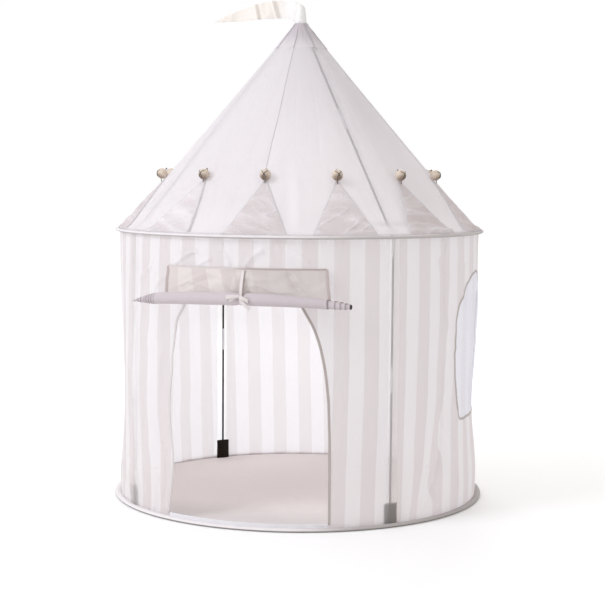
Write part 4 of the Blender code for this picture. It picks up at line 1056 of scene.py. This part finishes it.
def build_cap():
    """The doubled cloth round the crown, stitched along its lower edge."""
    up = SLOPE_LENGTH - CAP_LENGTH * (1 - np.linspace(0, 1, 26))
    azimuth, along = np.meshgrid(full_turn(160), up)
    below = SLOPE_LENGTH - along
    ragged = 0.0012 * round_noise(azimuth, 22, 0.0, 97) * below / CAP_LENGTH
    creases = 0.0007 * round_noise(azimuth, 40, along * 25, 99)
    creases += 0.0010 * round_ridges(azimuth, 16, along * 8, 98) ** 4
    gathered = 1 - smooth(below, 0.012, CAP_LENGTH * 0.8)
    creases += 0.0016 * round_ridges(azimuth, 24, along * 14, 96) ** 3 * gathered
    top = smooth(along, SLOPE_LENGTH - 0.012, SLOPE_LENGTH) * 0.0008
    points = roof_point(azimuth, along + ragged, 0.0008 + creases + top)
    flat = np.stack((along - up[0], azimuth * 0.02), axis=-1)
    # Paler towards its lower edge
    paler_share = 0.85 * smooth(below, 0.035, CAP_LENGTH)
    cap = grid_object("crown_cap", points, flat, around=True, extra={"shade": paler_share})
    dress(cap, cap_cloth)
    for number in range(8):
        seam = float(seam_turn((up / SLOPE_LENGTH).mean())) if number % 2 == 0 else math.radians(1.0)
        turn = np.full(up.shape, number * QUARTER / 2 + seam) + 0.02 * np.sin((up - up[0]) * 60)
        line = roof_point(turn, up, 0.0018 + smooth(up, SLOPE_LENGTH - 0.012, SLOPE_LENGTH) * 0.0008)
        strip = tape(f"cap_seam_{number + 1}", line, roof_normal(turn), CAP_SEAM_TAPE)
        dress(strip, cap_seam)


# Bunting: triangles on a tape, each with a wooden bead on a cord at its tip


def bead_places():
    """Each bead's azimuth and its distance up the roof's slope."""
    places = []
    for number in range(PENNANTS):
        low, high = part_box(f"bead_{number + 1:02d}")
        middle = (low + high) / 2
        azimuth = math.atan2(middle.x, -middle.y)
        out = middle.xy.length - CONE_RADIUS
        up = middle.z - CONE_HEIGHT
        along = -out * math.sin(CONE_ANGLE) + up * math.cos(CONE_ANGLE)
        away = out * math.cos(CONE_ANGLE) + up * math.sin(CONE_ANGLE)
        places.append((azimuth, along, away))
    return places


# By pennant: degrees by which its base stands beside its bead, and how much painted shade darkens its cloth
# (0 to 1)
PENNANT_LEAN = {0: 0.1, 1: -0.9, 2: 0.5, 3: -3.0, 11: -3.5}
PENNANT_SHADE = {0: 0.40, 1: 0.30, 2: 0.52, 3: 0.55, 11: 0.20}
MOST_WRINKLED = (0, 1, 2, 11)


def build_bunting():
    turns = full_turn(720)
    line = roof_point(turns, np.full(turns.shape, EAVE_ALONG + 0.0024), 0.0016)
    band = tape("bunting_tape", line, roof_normal(turns), BUNTING_TAPE, closed=True, shade=0.25)
    dress(band, roof_cloth, replaces=("bunting",))
    for number, (azimuth, along, away) in enumerate(bead_places()):
        build_pennant(number, azimuth, along)
        build_bead(number, azimuth, along, away)


def build_pennant(number, azimuth, bead_along):
    """One triangle: slack cloth that is creased towards its base, with folded and stitched sides."""
    low, tip = EAVE_ALONG + 0.0010, bead_along - BEAD_RADIUS * 0.45
    across, rows = np.meshgrid(np.linspace(-1, 1, 73), np.linspace(0, 1, 91))
    up = low + (tip - low) * rows
    lean = math.radians(PENNANT_LEAN.get(number, 1.0 * (hashed(number, 3.0, 4) - 0.5)))
    half = PENNANT_WIDTH / 2 * (1 - rows) + 0.0030
    half = half * (1 + 0.03 * np.sin(math.pi * rows) * np.sin(number * 2.1))
    radius = CONE_RADIUS + (CROWN_RADIUS - CONE_RADIUS) * up / SLOPE_LENGTH
    centre = azimuth + lean * (1 - rows) ** 1.2
    x = across * half
    seed = 200 + 7 * number
    fade = (1 - rows) ** 1.1
    turn = 1.0 if number % 2 else -1.0
    wide = ridged(x * 14 + turn * rows * 5 - 2, rows * 4.0 + x * 8, seed + 1)
    narrow = ridged(x * 24 - turn * rows * 6 + 5, rows * 7.0, seed + 2)
    wrinkled = 0.75 if number in MOST_WRINKLED else 0.40
    slack = 0.0020 * (1 + noise(x * 26 + rows * 3, rows * 6.0, seed)) * fade
    slack += 0.0098 * wrinkled * wide**4 * fade
    slack += 0.0062 * wrinkled * narrow**4 * fade
    slack += 0.0004 * noise(x * 220, rows * 40, seed + 3)
    slack += 0.0022 * (1 - across**2) * np.sin(math.pi * rows)
    held = np.clip(rows / 0.04, 0, 1) * (1 - 0.5 * np.abs(across) ** 6)
    edge = smooth(np.abs(across) * half, half - 0.0046, half - 0.0038)
    roll = smooth(np.abs(across) * half, half - 0.0012, half) * 0.0008
    lift = 0.0016 + slack * held + edge * 0.0006 - roll
    points = roof_point(centre + x / radius, up, lift)
    # Painted shade in the wrinkles' hollows and painted light on their ridges, strongest towards the base
    paler_share = wide**3 + 0.7 * narrow**3
    dim = PENNANT_SHADE.get(number, 0.5) + 0.12 + 0.42 * (0.45 - paler_share) * (1 - rows) ** 0.6
    marks = {"shade": np.clip(dim, 0, 1), "hem_and_shade": edge}
    pennant = grid_object(f"pennant_{number + 1:02d}", points, np.stack((x, up), axis=-1), extra=marks)
    dress(pennant, pennant_cloth)


def add_spline(curve, places):
    """A smooth line of a cord through some places."""
    spline = curve.splines.new("NURBS")
    spline.points.add(len(places) - 1)
    for point, place in zip(spline.points, places):
        point.co = (*place, 1.0)
    spline.order_u = 3
    spline.use_endpoint_u = True


def build_bead(number, azimuth, along, away):
    """A turned wooden bead with the cord that ties it to its triangle's tip and is knotted above it."""
    first = math.asin(BEAD_BORE / BEAD_RADIUS)
    angles = first + (math.pi - 2 * first) * np.linspace(0, math.pi, 25) / math.pi
    wobble = 1 + 0.012 * np.sin(angles * 3 + number)
    outside = np.stack((BEAD_RADIUS * wobble * np.sin(angles), BEAD_RADIUS * np.cos(angles)), axis=1)
    bore = np.linspace(outside[-1, 1] + 0.0012, outside[0, 1] - 0.0012, 5)
    inside = np.stack((np.full(5, BEAD_BORE * 0.9), bore), axis=1)
    bead = lathe(f"wooden_bead_{number + 1:02d}", np.concatenate((outside, inside)), 36)
    # Darker towards the lower end: end grain and painted shade
    mark(bead, lambda x, y, z: smooth(-z, 0.0010, BEAD_RADIUS * 0.95))
    up_slope = Vector(polar(-math.sin(CONE_ANGLE), azimuth, math.cos(CONE_ANGLE)).tolist())
    outwards = Vector(roof_normal(azimuth).tolist())
    sideways = up_slope.cross(outwards)
    centre = Vector(polar(CONE_RADIUS, azimuth, CONE_HEIGHT).tolist()) + up_slope * along + outwards * away
    turned = Matrix.Rotation(azimuth, 4, "Z") @ Matrix.Rotation(-CONE_ANGLE, 4, "X")
    tilt = Matrix.Rotation(0.25 * (hashed(number, 1.0, 2) - 0.5), 4, "Y")
    bead.data.transform(Matrix.Translation(centre) @ turned @ tilt)
    dress(bead, bead_wood, replaces=(f"bead_{number + 1:02d}",))
    curve = bpy.data.curves.new(f"bead_cord_{number + 1:02d}", "CURVE")
    curve.dimensions = "3D"
    curve.bevel_depth = CORD_RADIUS
    curve.bevel_resolution = 3
    curve.use_fill_caps = True
    lifts = (-BEAD_RADIUS - 0.004, -BEAD_RADIUS * 0.8, 0.0, BEAD_RADIUS + 0.0014, BEAD_RADIUS + 0.0028)
    depths = (-away + 0.0020, -away * 0.25, 0.0, 0.0, 0.0)
    through = [centre + up_slope * lift + outwards * depth for lift, depth in zip(lifts, depths)]
    add_spline(curve, through)
    knot = []
    for angle in np.linspace(0, 2.4 * math.pi, 14):
        around = sideways * math.cos(angle) + outwards * math.sin(angle)
        knot.append(through[-1] + around * 0.0014 + up_slope * 0.0010 * math.sin(angle * 1.7))
    add_spline(curve, knot)
    reach = BEAD_RADIUS + 0.0003
    for side in (-1, 1):
        strand = []
        for step in np.linspace(0.0, 1.0, 9):
            tall = math.radians(-72 + 84 * step)
            wide = side * math.radians(34) * (2 * step - 1)
            place = centre + up_slope * reach * math.sin(tall)
            level = outwards * math.cos(wide) + sideways * math.sin(wide)
            strand.append(place + level * reach * math.cos(tall))
        add_spline(curve, strand)
    dress(add_object(curve.name, curve), cord_dark)


# Door: the flap below its seam, the rest rolled up and tied with a ribbon

ROLL_RADIUS = 0.0165
ROLL_Y = (ROLL_LOW.y + ROLL_HIGH.y) / 2
ROLL_CENTRE = Vector((0.0, ROLL_Y, 0.5687))
FLAP_TURNS = (math.radians(-25.5), math.radians(24.06))
FLAP_FOOT = (-0.192, 0.221)
FLAP_TOP = 0.6385
# The roll's sag as (x, height of its axis), and the x at which each turn ends on either side
ROLL_SAG = (
    (-0.2786, 0.5547), (-0.2549, 0.5587), (-0.2156, 0.5637), (-0.1377, 0.5663), (-0.0607, 0.5686),
    (-0.0099, 0.5687), (0.0780, 0.5674), (0.1524, 0.5658), (0.2236, 0.5623), (0.2649, 0.5592),
    (0.2794, 0.5580),
)
SAG_FIT = np.polyfit(*np.array(ROLL_SAG).T, 5)
LEFT_ENDS = (-0.2156, -0.2225, -0.2294, -0.2363, -0.2440, -0.2520, -0.2610, -0.2700, -0.2785, -0.2785)
RIGHT_ENDS = (0.2205, 0.2215, 0.2225, 0.2236, 0.2399, 0.2527, 0.2649, 0.2762, 0.2786, 0.2788)
# The roll's own radius along it, from its left tip to the rings at its right end
ROLL_PROFILE = (
    (-0.2790, 0.0028), (-0.2549, 0.0080), (-0.2300, 0.0122), (-0.2156, 0.0138), (-0.1377, 0.0158),
    (-0.0607, 0.0165), (-0.0099, 0.0168), (0.0780, 0.0155), (0.1524, 0.0137), (0.2236, 0.0114),
    (0.2800, 0.0108),
)
RIB_PITCH = 0.0033
# The share of each turn along which its edge runs straight, before it steps to the next turn's
EDGE_REST = 0.72


def roll_axis(x):
    """The roll's axis at a distance from its middle: it sags and bends a little, as in the photograph."""
    back = 0.0006 * np.sin(x * 14)
    return ROLL_CENTRE.y + back, np.polyval(SAG_FIT, x)


# The flap's creases as (x, up) of both ends and depth, up from the roll (0) to the seam (1)
FLAP_CREASES = (
    (-0.172, 0.25, -0.092, 0.85, 0.0042),
    (-0.165, 0.05, -0.100, 0.55, -0.0034),
    (0.105, 0.95, 0.150, 0.10, -0.0065),
    (0.120, 1.00, 0.170, 0.10, 0.0040),
    (-0.060, 0.95, -0.020, 0.10, 0.0035),
)


def flap_point(across, up):
    """The flap: across from -1 to 1, up from the roll (0) to the seam (1)."""
    share = (across + 1) / 2
    turn = FLAP_TURNS[0] + (FLAP_TURNS[1] - FLAP_TURNS[0]) * share
    top = polar(WALL_RADIUS + 0.0030, turn, FLAP_TOP)
    x = FLAP_FOOT[0] + (FLAP_FOOT[1] - FLAP_FOOT[0]) * share
    axis_y, axis_z = roll_axis(x)
    bottom = np.stack((x, axis_y + ROLL_RADIUS * 0.78, axis_z + ROLL_RADIUS * 0.45), axis=-1)
    point = bottom + (top - bottom) * up[..., None]
    place = point[..., 0]
    hang = np.sin(math.pi * up)
    folds = 0.0030 * noise(place * 16 + up * 1.6, up * 1.3, 301)
    folds = folds + 0.0022 * noise(place * 34 - up * 2.4, up * 2, 302)
    folds += 0.0030 * ridged(place * 13 + up * 2.2 + 3, up * 1.6 - place * 6, 303) ** 6
    for start, low, end, high, depth in FLAP_CREASES:
        middle = start + (end - start) * (up - low) / (high - low)
        inside = smooth(up, min(low, high) - 0.15, min(low, high) + 0.15)
        inside = inside * smooth(max(low, high) - up, -0.15, 0.15)
        folds += depth * np.exp(-np.abs((place - middle) / 0.0105) ** 1.6) * inside
    drawn = bump(place, RIBBON_OFFSET, 0.050)
    gather = 0.0035 * np.cos((place - RIBBON_OFFSET) * 260) * bump(place, RIBBON_OFFSET, 0.030) * (1 - up)
    point[..., 1] -= folds * hang + gather * hang + 0.0050 * drawn * hang
    point[..., 2] += 0.0015 * drawn * hang
    return point


def build_flap():
    """The flap with its side bindings and its seam, which are attached to no body."""
    across, up = np.meshgrid(np.linspace(-1, 1, 201), np.linspace(0, 1, 49))
    points = flap_point(across, up)
    flat = np.stack((across * 0.21, FLAP_LOW + up * (FLAP_TOP - FLAP_LOW)), axis=-1)
    stripes = stripe_place(across * FLAP_TURNS[1], np.full(up.shape, FLAP_TOP)) + 0.5
    # Painted shade: the flap darkens over its right half and towards the roll
    darker = 0.65 * smooth(across, -0.35, 0.35) + 0.25 * (1 - up)
    flap = grid_object("door_flap_cloth", points, flat, extra={"stripe": stripes, "hem_and_shade": darker})
    dress(flap, flap_cloth, None, ("door_flap",))
    sewn = []
    for side, edge in (("left", 0), ("right", -1)):
        line = points[:, edge]
        outwards = np.broadcast_to((0.0, -1.0, 0.15), line.shape)
        sewn.append(tape("flap_binding_" + side, line, outwards, FLAP_BINDING_TAPE, corners=10, shade=0.0))
    line = points[-1] + np.array((0.0, 0.0, 0.0004))
    outwards = polar(1.0, across[-1] * FLAP_TURNS[1], 0.0)
    # Painted light: the seam is paler on the left, where the light falls
    pale = lambda x, y, z: 0.85 * smooth(0.02 - x, 0.0, 0.06)
    sewn.append(tape("flap_seam", line, outwards, FLAP_SEAM_TAPE, corners=10, shade=pale))
    for piece in sewn:
        dress(piece, flap_hem, None)
    for piece in (flap, *sewn):
        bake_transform(piece)


def turn_end(share, ends):
    """Where the cloth of a turn ends sideways: each turn's edge runs straight, then steps to the next."""
    wound = share * ROLL_TURNS
    stepped = np.floor(wound) + smooth(wound - np.floor(wound), EDGE_REST, 1.0)
    return np.interp(stepped, np.arange(len(ends)), ends)


def build_roll():
    """The rest of the door, wound into nine turns whose inner ones stand out at the ends."""
    steps = ROLL_TURNS * 48
    share = np.linspace(0, 1, steps + 1)[:, None]
    radius = ROLL_RADIUS + (ROLL_CORE - ROLL_RADIUS) * share
    left, right = turn_end(share, LEFT_ENDS), turn_end(share, RIGHT_ENDS)
    hem_and_shade = np.array((0.0, 0.0006, 0.0012, 0.0018, 0.0024, 0.0032, 0.0045, 0.0065, 0.0095))
    inner = np.linspace(0, 1, 110)[None, 1:-1]
    edge = hem_and_shade[-1]
    between = left + edge + (right - left - 2 * edge) * inner
    x = np.concatenate((left + hem_and_shade[None], between, right - hem_and_shade[None, ::-1]), axis=1)
    from_edge = np.minimum(x - left, right - x)
    turn = 2 * math.pi * ROLL_TURNS * share
    axis_y, axis_z = roll_axis(x)
    tight = 1 - 0.22 * bump(x, RIBBON_OFFSET, 0.013)
    lumps = 0.016 * noise(x * 18 + share * 3, turn * 0.35, 401)
    lumps = lumps + 0.010 * noise(x * 46 + turn * 0.4, share * 9, 402)
    spiral = 0.030 * ridged(x * 9 + turn * 0.16, share * 4, 403) ** 4
    gathered = 0.045 * np.cos(turn * 7) * bump(x, RIBBON_OFFSET, 0.022)
    outer = np.interp(x, *np.array(ROLL_PROFILE).T) - 0.00035 * ROLL_TURNS * share
    size = np.minimum(radius, outer) * tight * np.minimum(1 + lumps - spiral + gathered, 1.02)
    size = size + 0.0006 * smooth(0.0036 - from_edge, 0.0, 0.0008)
    ribs = (1 + np.cos(2 * math.pi * x / RIB_PITCH)) * smooth(-x, 0.213, 0.222)
    size = size - 0.0005 * ribs
    points = np.stack((x, axis_y + size * np.cos(turn), axis_z - size * np.sin(turn)), axis=-1)
    flat = np.stack((x, np.broadcast_to(share * 0.5, x.shape)), axis=-1)
    # Painted shade: inside the innermost turns at the right end, a line along each turn's edge, the ribs'
    # grooves at the left end, and the whole roll a little, more on its right half
    painted_roll_shade = smooth(share, 0.88, 0.90) * smooth(x, 0.266, 0.270)
    painted_roll_shade = painted_roll_shade + 0.45 * smooth(0.0016 - from_edge, 0.0, 0.0008) + 0.10 * ribs
    painted_roll_shade = painted_roll_shade + 0.045 + 0.055 * smooth(x, 0.0, 0.10)
    roll = grid_object("rolled_door", points, flat, extra={"shade": np.clip(painted_roll_shade, 0, 1)})
    dress(roll, roll_cloth, "door", ("door_roll",))


def build_tie():
    """The ribbon from the seam, down in front of the roll and round it, tied in a bow in front."""
    y, z = roll_axis(np.array(RIBBON_OFFSET))
    around = ROLL_RADIUS * 0.80 + 0.0012
    front = flap_point(np.array([0.02]), np.array([0.97]))[0][1] - 0.0030
    start, middle, end = (
        Vector((0.0034, front, FLAP_TOP - 0.003)),
        Vector((0.0036, front - 0.0130, 0.6110)),
        Vector((0.0078, y - around * 0.92, z + around * 0.50)),
    )
    line = []
    for share in np.linspace(0, 1, 14)[:-1]:
        pull = (middle * 2 - (start + end) / 2) * 2 * share * (1 - share)
        line.append(start * (1 - share) ** 2 + pull + end * share**2)
    for angle in np.linspace(math.radians(150), math.radians(150 + 300), 36):
        line.append(Vector((RIBBON_OFFSET, y + around * math.cos(angle), z + around * math.sin(angle))))
    line = np.array([tuple(point) for point in line])
    outwards = line - np.array((RIBBON_OFFSET, y, z))
    outwards[:, 0] = 0.0
    outwards[:14] = (-0.25, -1.0, 0.3)
    dress(tape("tie_ribbon", line, outwards, RIBBON), ribbon_cloth, "door", ("door_tie",))
    behind = line[:14] + np.array((0.0034, 0.0016, 0.0))
    under = tape("tie_ribbon_under", behind, outwards[:14], RIBBON_UNDER, shade=0.0)
    dress(under, flap_hem, "door")
    build_bow(0.0028, y - around - 0.0040, 0.5762)


def build_bow(knot_x, knot_y, knot_z):
    """The bow: a folded knot, two soft loops and two tails that hang in front of the roll."""
    across, around = np.meshgrid(np.linspace(-1, 1, 17), full_turn(28), indexing="ij")
    size = np.sqrt(np.clip(1 - (np.abs(across) * 0.97) ** 2.6, 0, 1))
    crease = 1 - 0.16 * ridged(around * 0.8, across * 1.5, 501) ** 3
    y = knot_y + 0.0040 * size * crease * np.cos(around)
    z = knot_z + 0.0048 * size * crease * np.sin(around)
    flat = np.stack((across * 0.005, around * 0.004), axis=-1)
    knot = grid_object("bow_knot", np.stack((knot_x + 0.0052 * across, y, z), axis=-1), flat, around=True)
    dress(knot, ribbon_cloth, "door")
    # Each loop lies flat against the roll: out from the knot in front, folded over, and back behind
    turn = np.linspace(0.06, 2 * math.pi - 0.06, 44)
    out = (1 - np.cos(turn)) / 2
    rise = np.sin(turn) * np.sin(turn / 2) ** 0.5
    loops = (("left", -1, 0.0270, -0.0040, 0.0105), ("right", 1, 0.0245, -0.0115, 0.0098))
    for name, side, reach, droop, width in loops:
        x = knot_x + side * (0.002 + reach * out)
        y = knot_y - 0.0004 - 0.0026 * rise - 0.0010 * np.sin(math.pi * out)
        z = knot_z + droop * out + 0.0014 * rise * np.sin(turn / 2)
        sideways = np.stack((np.full(44, -0.2 * side), 0.35 * np.cos(turn), np.ones(44)), axis=1)
        bow_strip("bow_loop_" + name, np.stack((x, y, z), axis=1), sideways, width, (knot_x, knot_z), 0.0090)
    share = np.linspace(0, 1, 24)
    tails = (("left", -0.0215, 0.0095, 0.5), ("right", 0.0300, 0.0300, 0.7))
    for name, splay, fall, twist in tails:
        x = knot_x + splay * share
        z = knot_z - 0.0020 - (fall - 0.0020) * share**0.9
        y = knot_y + 0.0016 - 0.0030 * np.sin(math.pi * share * 0.8)
        angle = twist * share
        sideways = np.stack((0.5 * np.cos(angle), 0.4 * np.sin(angle), np.ones(24)), axis=1)
        bow_strip("bow_tail_" + name, np.stack((x, y, z), axis=1), sideways, 0.0085, (knot_x, knot_z), 0.0080)


def bow_strip(name, line, sideways, width, knot, reach):
    """A strip of the bow: its width lies along sideways, and is drawn together where it enters the knot."""
    ahead = unit_rows(np.gradient(line, axis=0))
    sideways = sideways - ahead * (sideways * ahead).sum(1)[:, None]
    strip = tape(name, line, np.cross(ahead, sideways), (width, BOW_THICKNESS))
    for vertex in strip.data.vertices:
        share = 0.45 + 0.55 * float(smooth(abs(vertex.co.x - knot[0]), 0.0, reach))
        vertex.co.z = knot[1] + (vertex.co.z - knot[1]) * share
    dress(strip, ribbon_cloth, "door")


# Poles' pockets, hub and the rest of the frame

POUCH_HALF_WIDTH = 0.0196
POUCH_HALF_DEPTH = 0.0046
# How wide a pouch is at each level, from its foot to its brim and down inside
POUCH_LEVELS = (
    (0.0, 0.90), (0.006, 0.97), (0.02, 1.0), (0.10, 1.0), (0.25, 1.0), (0.45, 0.99),
    (0.65, 0.98), (0.85, 0.985), (0.93, 1.0), (0.975, 1.0), (0.995, 0.99), (1.0, 0.95),
    (0.995, 0.90), (0.97, 0.88), (0.85, 0.87), (0.70, 0.86),
)


def build_pockets():
    """Each pole's foot stands in a sewn nylon pouch, which its node's box places."""
    levels, widths = np.array(POUCH_LEVELS).T
    around, level = np.meshgrid(full_turn(72), levels)
    grow = np.broadcast_to(widths[:, None], around.shape)
    cosine, sine = np.cos(around), np.sin(around)
    across = POUCH_HALF_WIDTH * rounded(cosine, 0.55) * grow
    bulge = POUCH_HALF_DEPTH * rounded(sine, 0.7) * (0.62 + 0.38 * bump(across, 0.0, 0.009)) * grow
    for number, name in enumerate(CORNERS):
        low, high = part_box(name + "_pocket")
        middle = (low + high) / 2
        azimuth = math.atan2(middle.x, -middle.y)
        ruck = 0.0007 * noise(across * 120 + number, level * 5, 601 + number)
        back = -(middle.xy.length + (bulge + ruck * np.sign(sine)))
        height = low.z + (high.z - low.z) * level
        c, s = math.cos(azimuth), math.sin(azimuth)
        points = np.stack((across * c - back * s, across * s + back * c, height), axis=-1)
        pouch = grid_object("pocket_" + name, points, np.stack((across, height), axis=-1), around=True)
        dress(pouch, nylon, replaces=(name + "_pocket",))


def dress_frame():
    """Materials of the frame's own nodes, which keep their shapes."""
    wall_low = WALL_FERRULE - FERRULE_LENGTH / 2
    wall_rod = ferruled_material("wall_rod", wall_low, wall_low + FERRULE_LENGTH)
    half = FERRULE_LENGTH / 2 * math.cos(CONE_ANGLE)
    roof_rod = ferruled_material("roof_rod", ROOF_FERRULE - half - 0.001, ROOF_FERRULE + half + 0.004)
    looks = {
        "base_hoop": (wire_metal, "hoop_wire"), "top_hoop": (wire_metal, "hoop_wire"),
        "crown_hub": (hub_plastic, "hub_plastic"),
    }
    for name in CORNERS:
        looks[name + "_lower_rod"] = (wall_rod, None)
        looks[name + "_upper_rod"] = (rod_black, None)
        looks[name + "_roof_rod_lower"] = (roof_rod, None)
        looks[name + "_roof_rod_upper"] = (rod_black, None)
        looks[name + "_elbow"] = (elbow_metal, None)
    for name, (material, slot) in looks.items():
        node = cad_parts[name]
        node.data.materials.clear()
        node.data.materials.append(material)


# Flag

FLAG_TIP = -0.2453
MAST_RADIUS = 0.0146
# The flag's lower and upper edge as (x, height), from its tip to the mast
FLAG_LOWER = (
    (FLAG_TIP, 1.2745), (-0.199, 1.2765), (-0.085, 1.2822), (-0.050, 1.2822), (-0.027, 1.2798),
    (-0.0166, 1.2700), (-0.0145, 1.2668), (MAST_RADIUS, 1.2668),
)
FLAG_UPPER = (
    (FLAG_TIP, 1.2756), (-0.190, 1.3025), (-0.1375, 1.3200), (-0.085, 1.3290), (-0.046, 1.3340),
    (-0.025, 1.3315), (-0.011, 1.3245), (0.004, 1.3175), (0.0112, 1.3090), (0.0138, 1.2900),
    (MAST_RADIUS, 1.2668),
)


def build_flag():
    """A cotton pennant folded round the mast: a sleeve there, closed along its foot, and a wavy fly."""
    shares = np.linspace(0, 1, 141)
    x = FLAG_TIP + (0.0144 - FLAG_TIP) * (1 - (1 - shares) ** 1.35)
    low = np.interp(x, *np.array(FLAG_LOWER).T)
    high = np.interp(x, *np.array(FLAG_UPPER).T)
    kernel = np.hanning(7) / np.hanning(7).sum()
    for edge in (low, high):
        inner = np.convolve(np.pad(edge, 3, mode="edge"), kernel, mode="valid")
        edge[4:-4] = inner[4:-4]
    level, along = np.meshgrid(np.linspace(0, 1, 31), np.arange(len(x)), indexing="ij")
    place = x[along]
    height = low[along] + (high[along] - low[along]) * level
    fly = np.clip(place / FLAG_TIP, 0, 1)
    wave = 0.0046 * np.sin(fly * 10.5 + 0.5) * smooth(fly, 0.06, 0.4)
    lean = 0.008 * level, 0.014 * level
    crease = 0.0062 * bump(place, -0.113 - lean[0], 0.0042) - 0.0056 * bump(place, -0.066 - lean[1], 0.0042)
    crease -= 0.0048 * bump(place, -0.121 - lean[0], 0.0038) - 0.0040 * bump(place, -0.056 - lean[1], 0.0050)
    ripple = 0.0016 * noise(place * 60, level * 2.5, 701) * smooth(fly, 0.03, 0.2)
    middle = wave + crease + ripple
    mast = MAST_RADIUS - 0.0062 * smooth(height, 1.270, 1.328)
    bulge = np.sqrt(np.clip(mast**2 - place**2, 0, None)) * np.clip((1 - level) * 9, 0, 1) ** 0.5
    thick = 0.0009 * np.clip((np.minimum(level, 1 - level)) * 12, 0, 1) ** 0.5
    half = np.maximum(bulge, thick + 0.0060 * bump(place, -0.016, 0.012) * np.sin(math.pi * level))
    half = half * (1 + 0.10 * noise(place * 90, level * 6, 703))
    front, back = (np.stack((place, middle + side * half, height), axis=-1) for side in (-1, 1))
    flat = np.stack((place, height), axis=-1)
    ring, flat = np.concatenate((front, back[::-1])), np.concatenate((flat, flat[::-1]))
    flag = grid_object("flag_pennant", ring, flat, extra={"shade": smooth(flat[..., 0], -0.075, -0.030)})
    dress(flag, flag_cloth, "pennant", ("flag",))


# Studio

FLOOR_GLOW = 0.045
FAR_GLOW = 0.30
WORLD_TINT = (1.0, 0.978, 0.952)
WORLD_LEVEL = 0.86
PLAIN_WHITE = (1.0, 1.0, 1.0)


def build_stage():
    """A pale floor that keeps the tent's shadow and turns white away from it."""
    bpy.ops.mesh.primitive_plane_add(size=30.0, location=(0.0, 0.0, 0.0))
    floor = bpy.context.object
    floor.name = "studio_floor"
    nodes = Nodes(bpy.data.materials.new("studio_floor"))
    color = nodes.mix(nodes.noise(nodes.place(), 40.0), (0.90, 0.90, 0.90), (0.92, 0.92, 0.92))
    surface = nodes.add("BsdfPrincipled", {"Base Color": color, "Roughness": 0.9})
    seen = nodes.add("LightPath").outputs["Is Camera Ray"]
    away = nodes.add("VectorMath", {0: nodes.place()}, operation="LENGTH").outputs["Value"]
    level = nodes.math("MULTIPLY", seen, nodes.range(away, 1.0, 3.0, FLOOR_GLOW, FAR_GLOW))
    glow = nodes.add("Emission", {"Color": PLAIN_WHITE, "Strength": level})
    both = nodes.add("AddShader", {0: surface.outputs[0], 1: glow.outputs[0]})
    floor.data.materials.append(nodes.show(both))


def build_world():
    """White where it is looked at, and a little dimmer and warmer where it lights the tent."""
    world = bpy.data.worlds.new("studio")
    bpy.context.scene.world = world
    nodes = Nodes(world, "OutputWorld")
    path = nodes.add("LightPath").outputs
    seen = path["Is Camera Ray"]
    for ray in ("Is Glossy Ray", "Is Transmission Ray"):
        seen = nodes.math("MAXIMUM", seen, path[ray])
    tint = nodes.mix(seen, WORLD_TINT, PLAIN_WHITE)
    level = nodes.range(seen, 0.0, 1.0, WORLD_LEVEL, 1.0)
    nodes.show(nodes.add("Background", {"Color": tint, "Strength": level}))


def build_lights():
    """A cool key from the left front, and a softer light behind."""
    lights = (
        ("key", (-2.6, -2.85, 3.3), (0.0, 0.0, 0.55), 2.2, 95.0, (0.885, 0.915, 1.0)),
        ("back", (-0.9, 3.6, 2.2), (0.0, 0.0, 0.45), 2.4, 62.0, (0.960, 0.965, 1.0)),
    )
    for name, place, target, size, power, color in lights:
        lamp = bpy.data.lights.new(name, "AREA")
        lamp.shape = "DISK"
        lamp.size = size
        lamp.energy = power
        lamp.color = color
        obj = add_object(name, lamp)
        obj.location = place
        obj.rotation_mode = "QUATERNION"
        obj.rotation_quaternion = (Vector(target) - Vector(place)).to_track_quat("-Z", "Y")


def build_camera():
    lens = bpy.data.cameras.new("camera")
    lens.sensor_fit = "AUTO"
    lens.sensor_width = SENSOR
    lens.lens = FOCAL_PIXELS * SENSOR / PHOTO_PIXELS
    lens.shift_x = (PHOTO_PIXELS / 2 - CENTRE_PIXEL) / PHOTO_PIXELS
    lens.clip_start = 0.1
    lens.clip_end = 100.0
    camera = add_object("camera", lens)
    ahead = Vector((-math.sin(CAMERA_TURN), math.cos(CAMERA_TURN), 0.0))
    right = Vector((math.cos(CAMERA_TURN), math.sin(CAMERA_TURN), 0.0))
    looking = ahead * math.cos(CAMERA_PITCH) - Vector((0.0, 0.0, 1.0)) * math.sin(CAMERA_PITCH)
    turned = Matrix((right, right.cross(looking), -looking)).transposed().to_4x4()
    place = Matrix.Translation(polar(CAMERA_DISTANCE, CAMERA_TURN, CAMERA_HEIGHT))
    camera.matrix_world = place @ turned @ Matrix.Rotation(CAMERA_ROLL, 4, "Z")
    bpy.context.scene.camera = camera


build_camera()
build_walls()
build_bindings()
build_nets()
build_sleeves()
build_floor()
build_roof()
build_cap()
build_bunting()
build_flap()
build_roll()
build_tie()
build_pockets()
dress_frame()
build_flag()
build_stage()
build_world()
build_lights()
bpy.context.scene.view_settings.view_transform = "Standard"
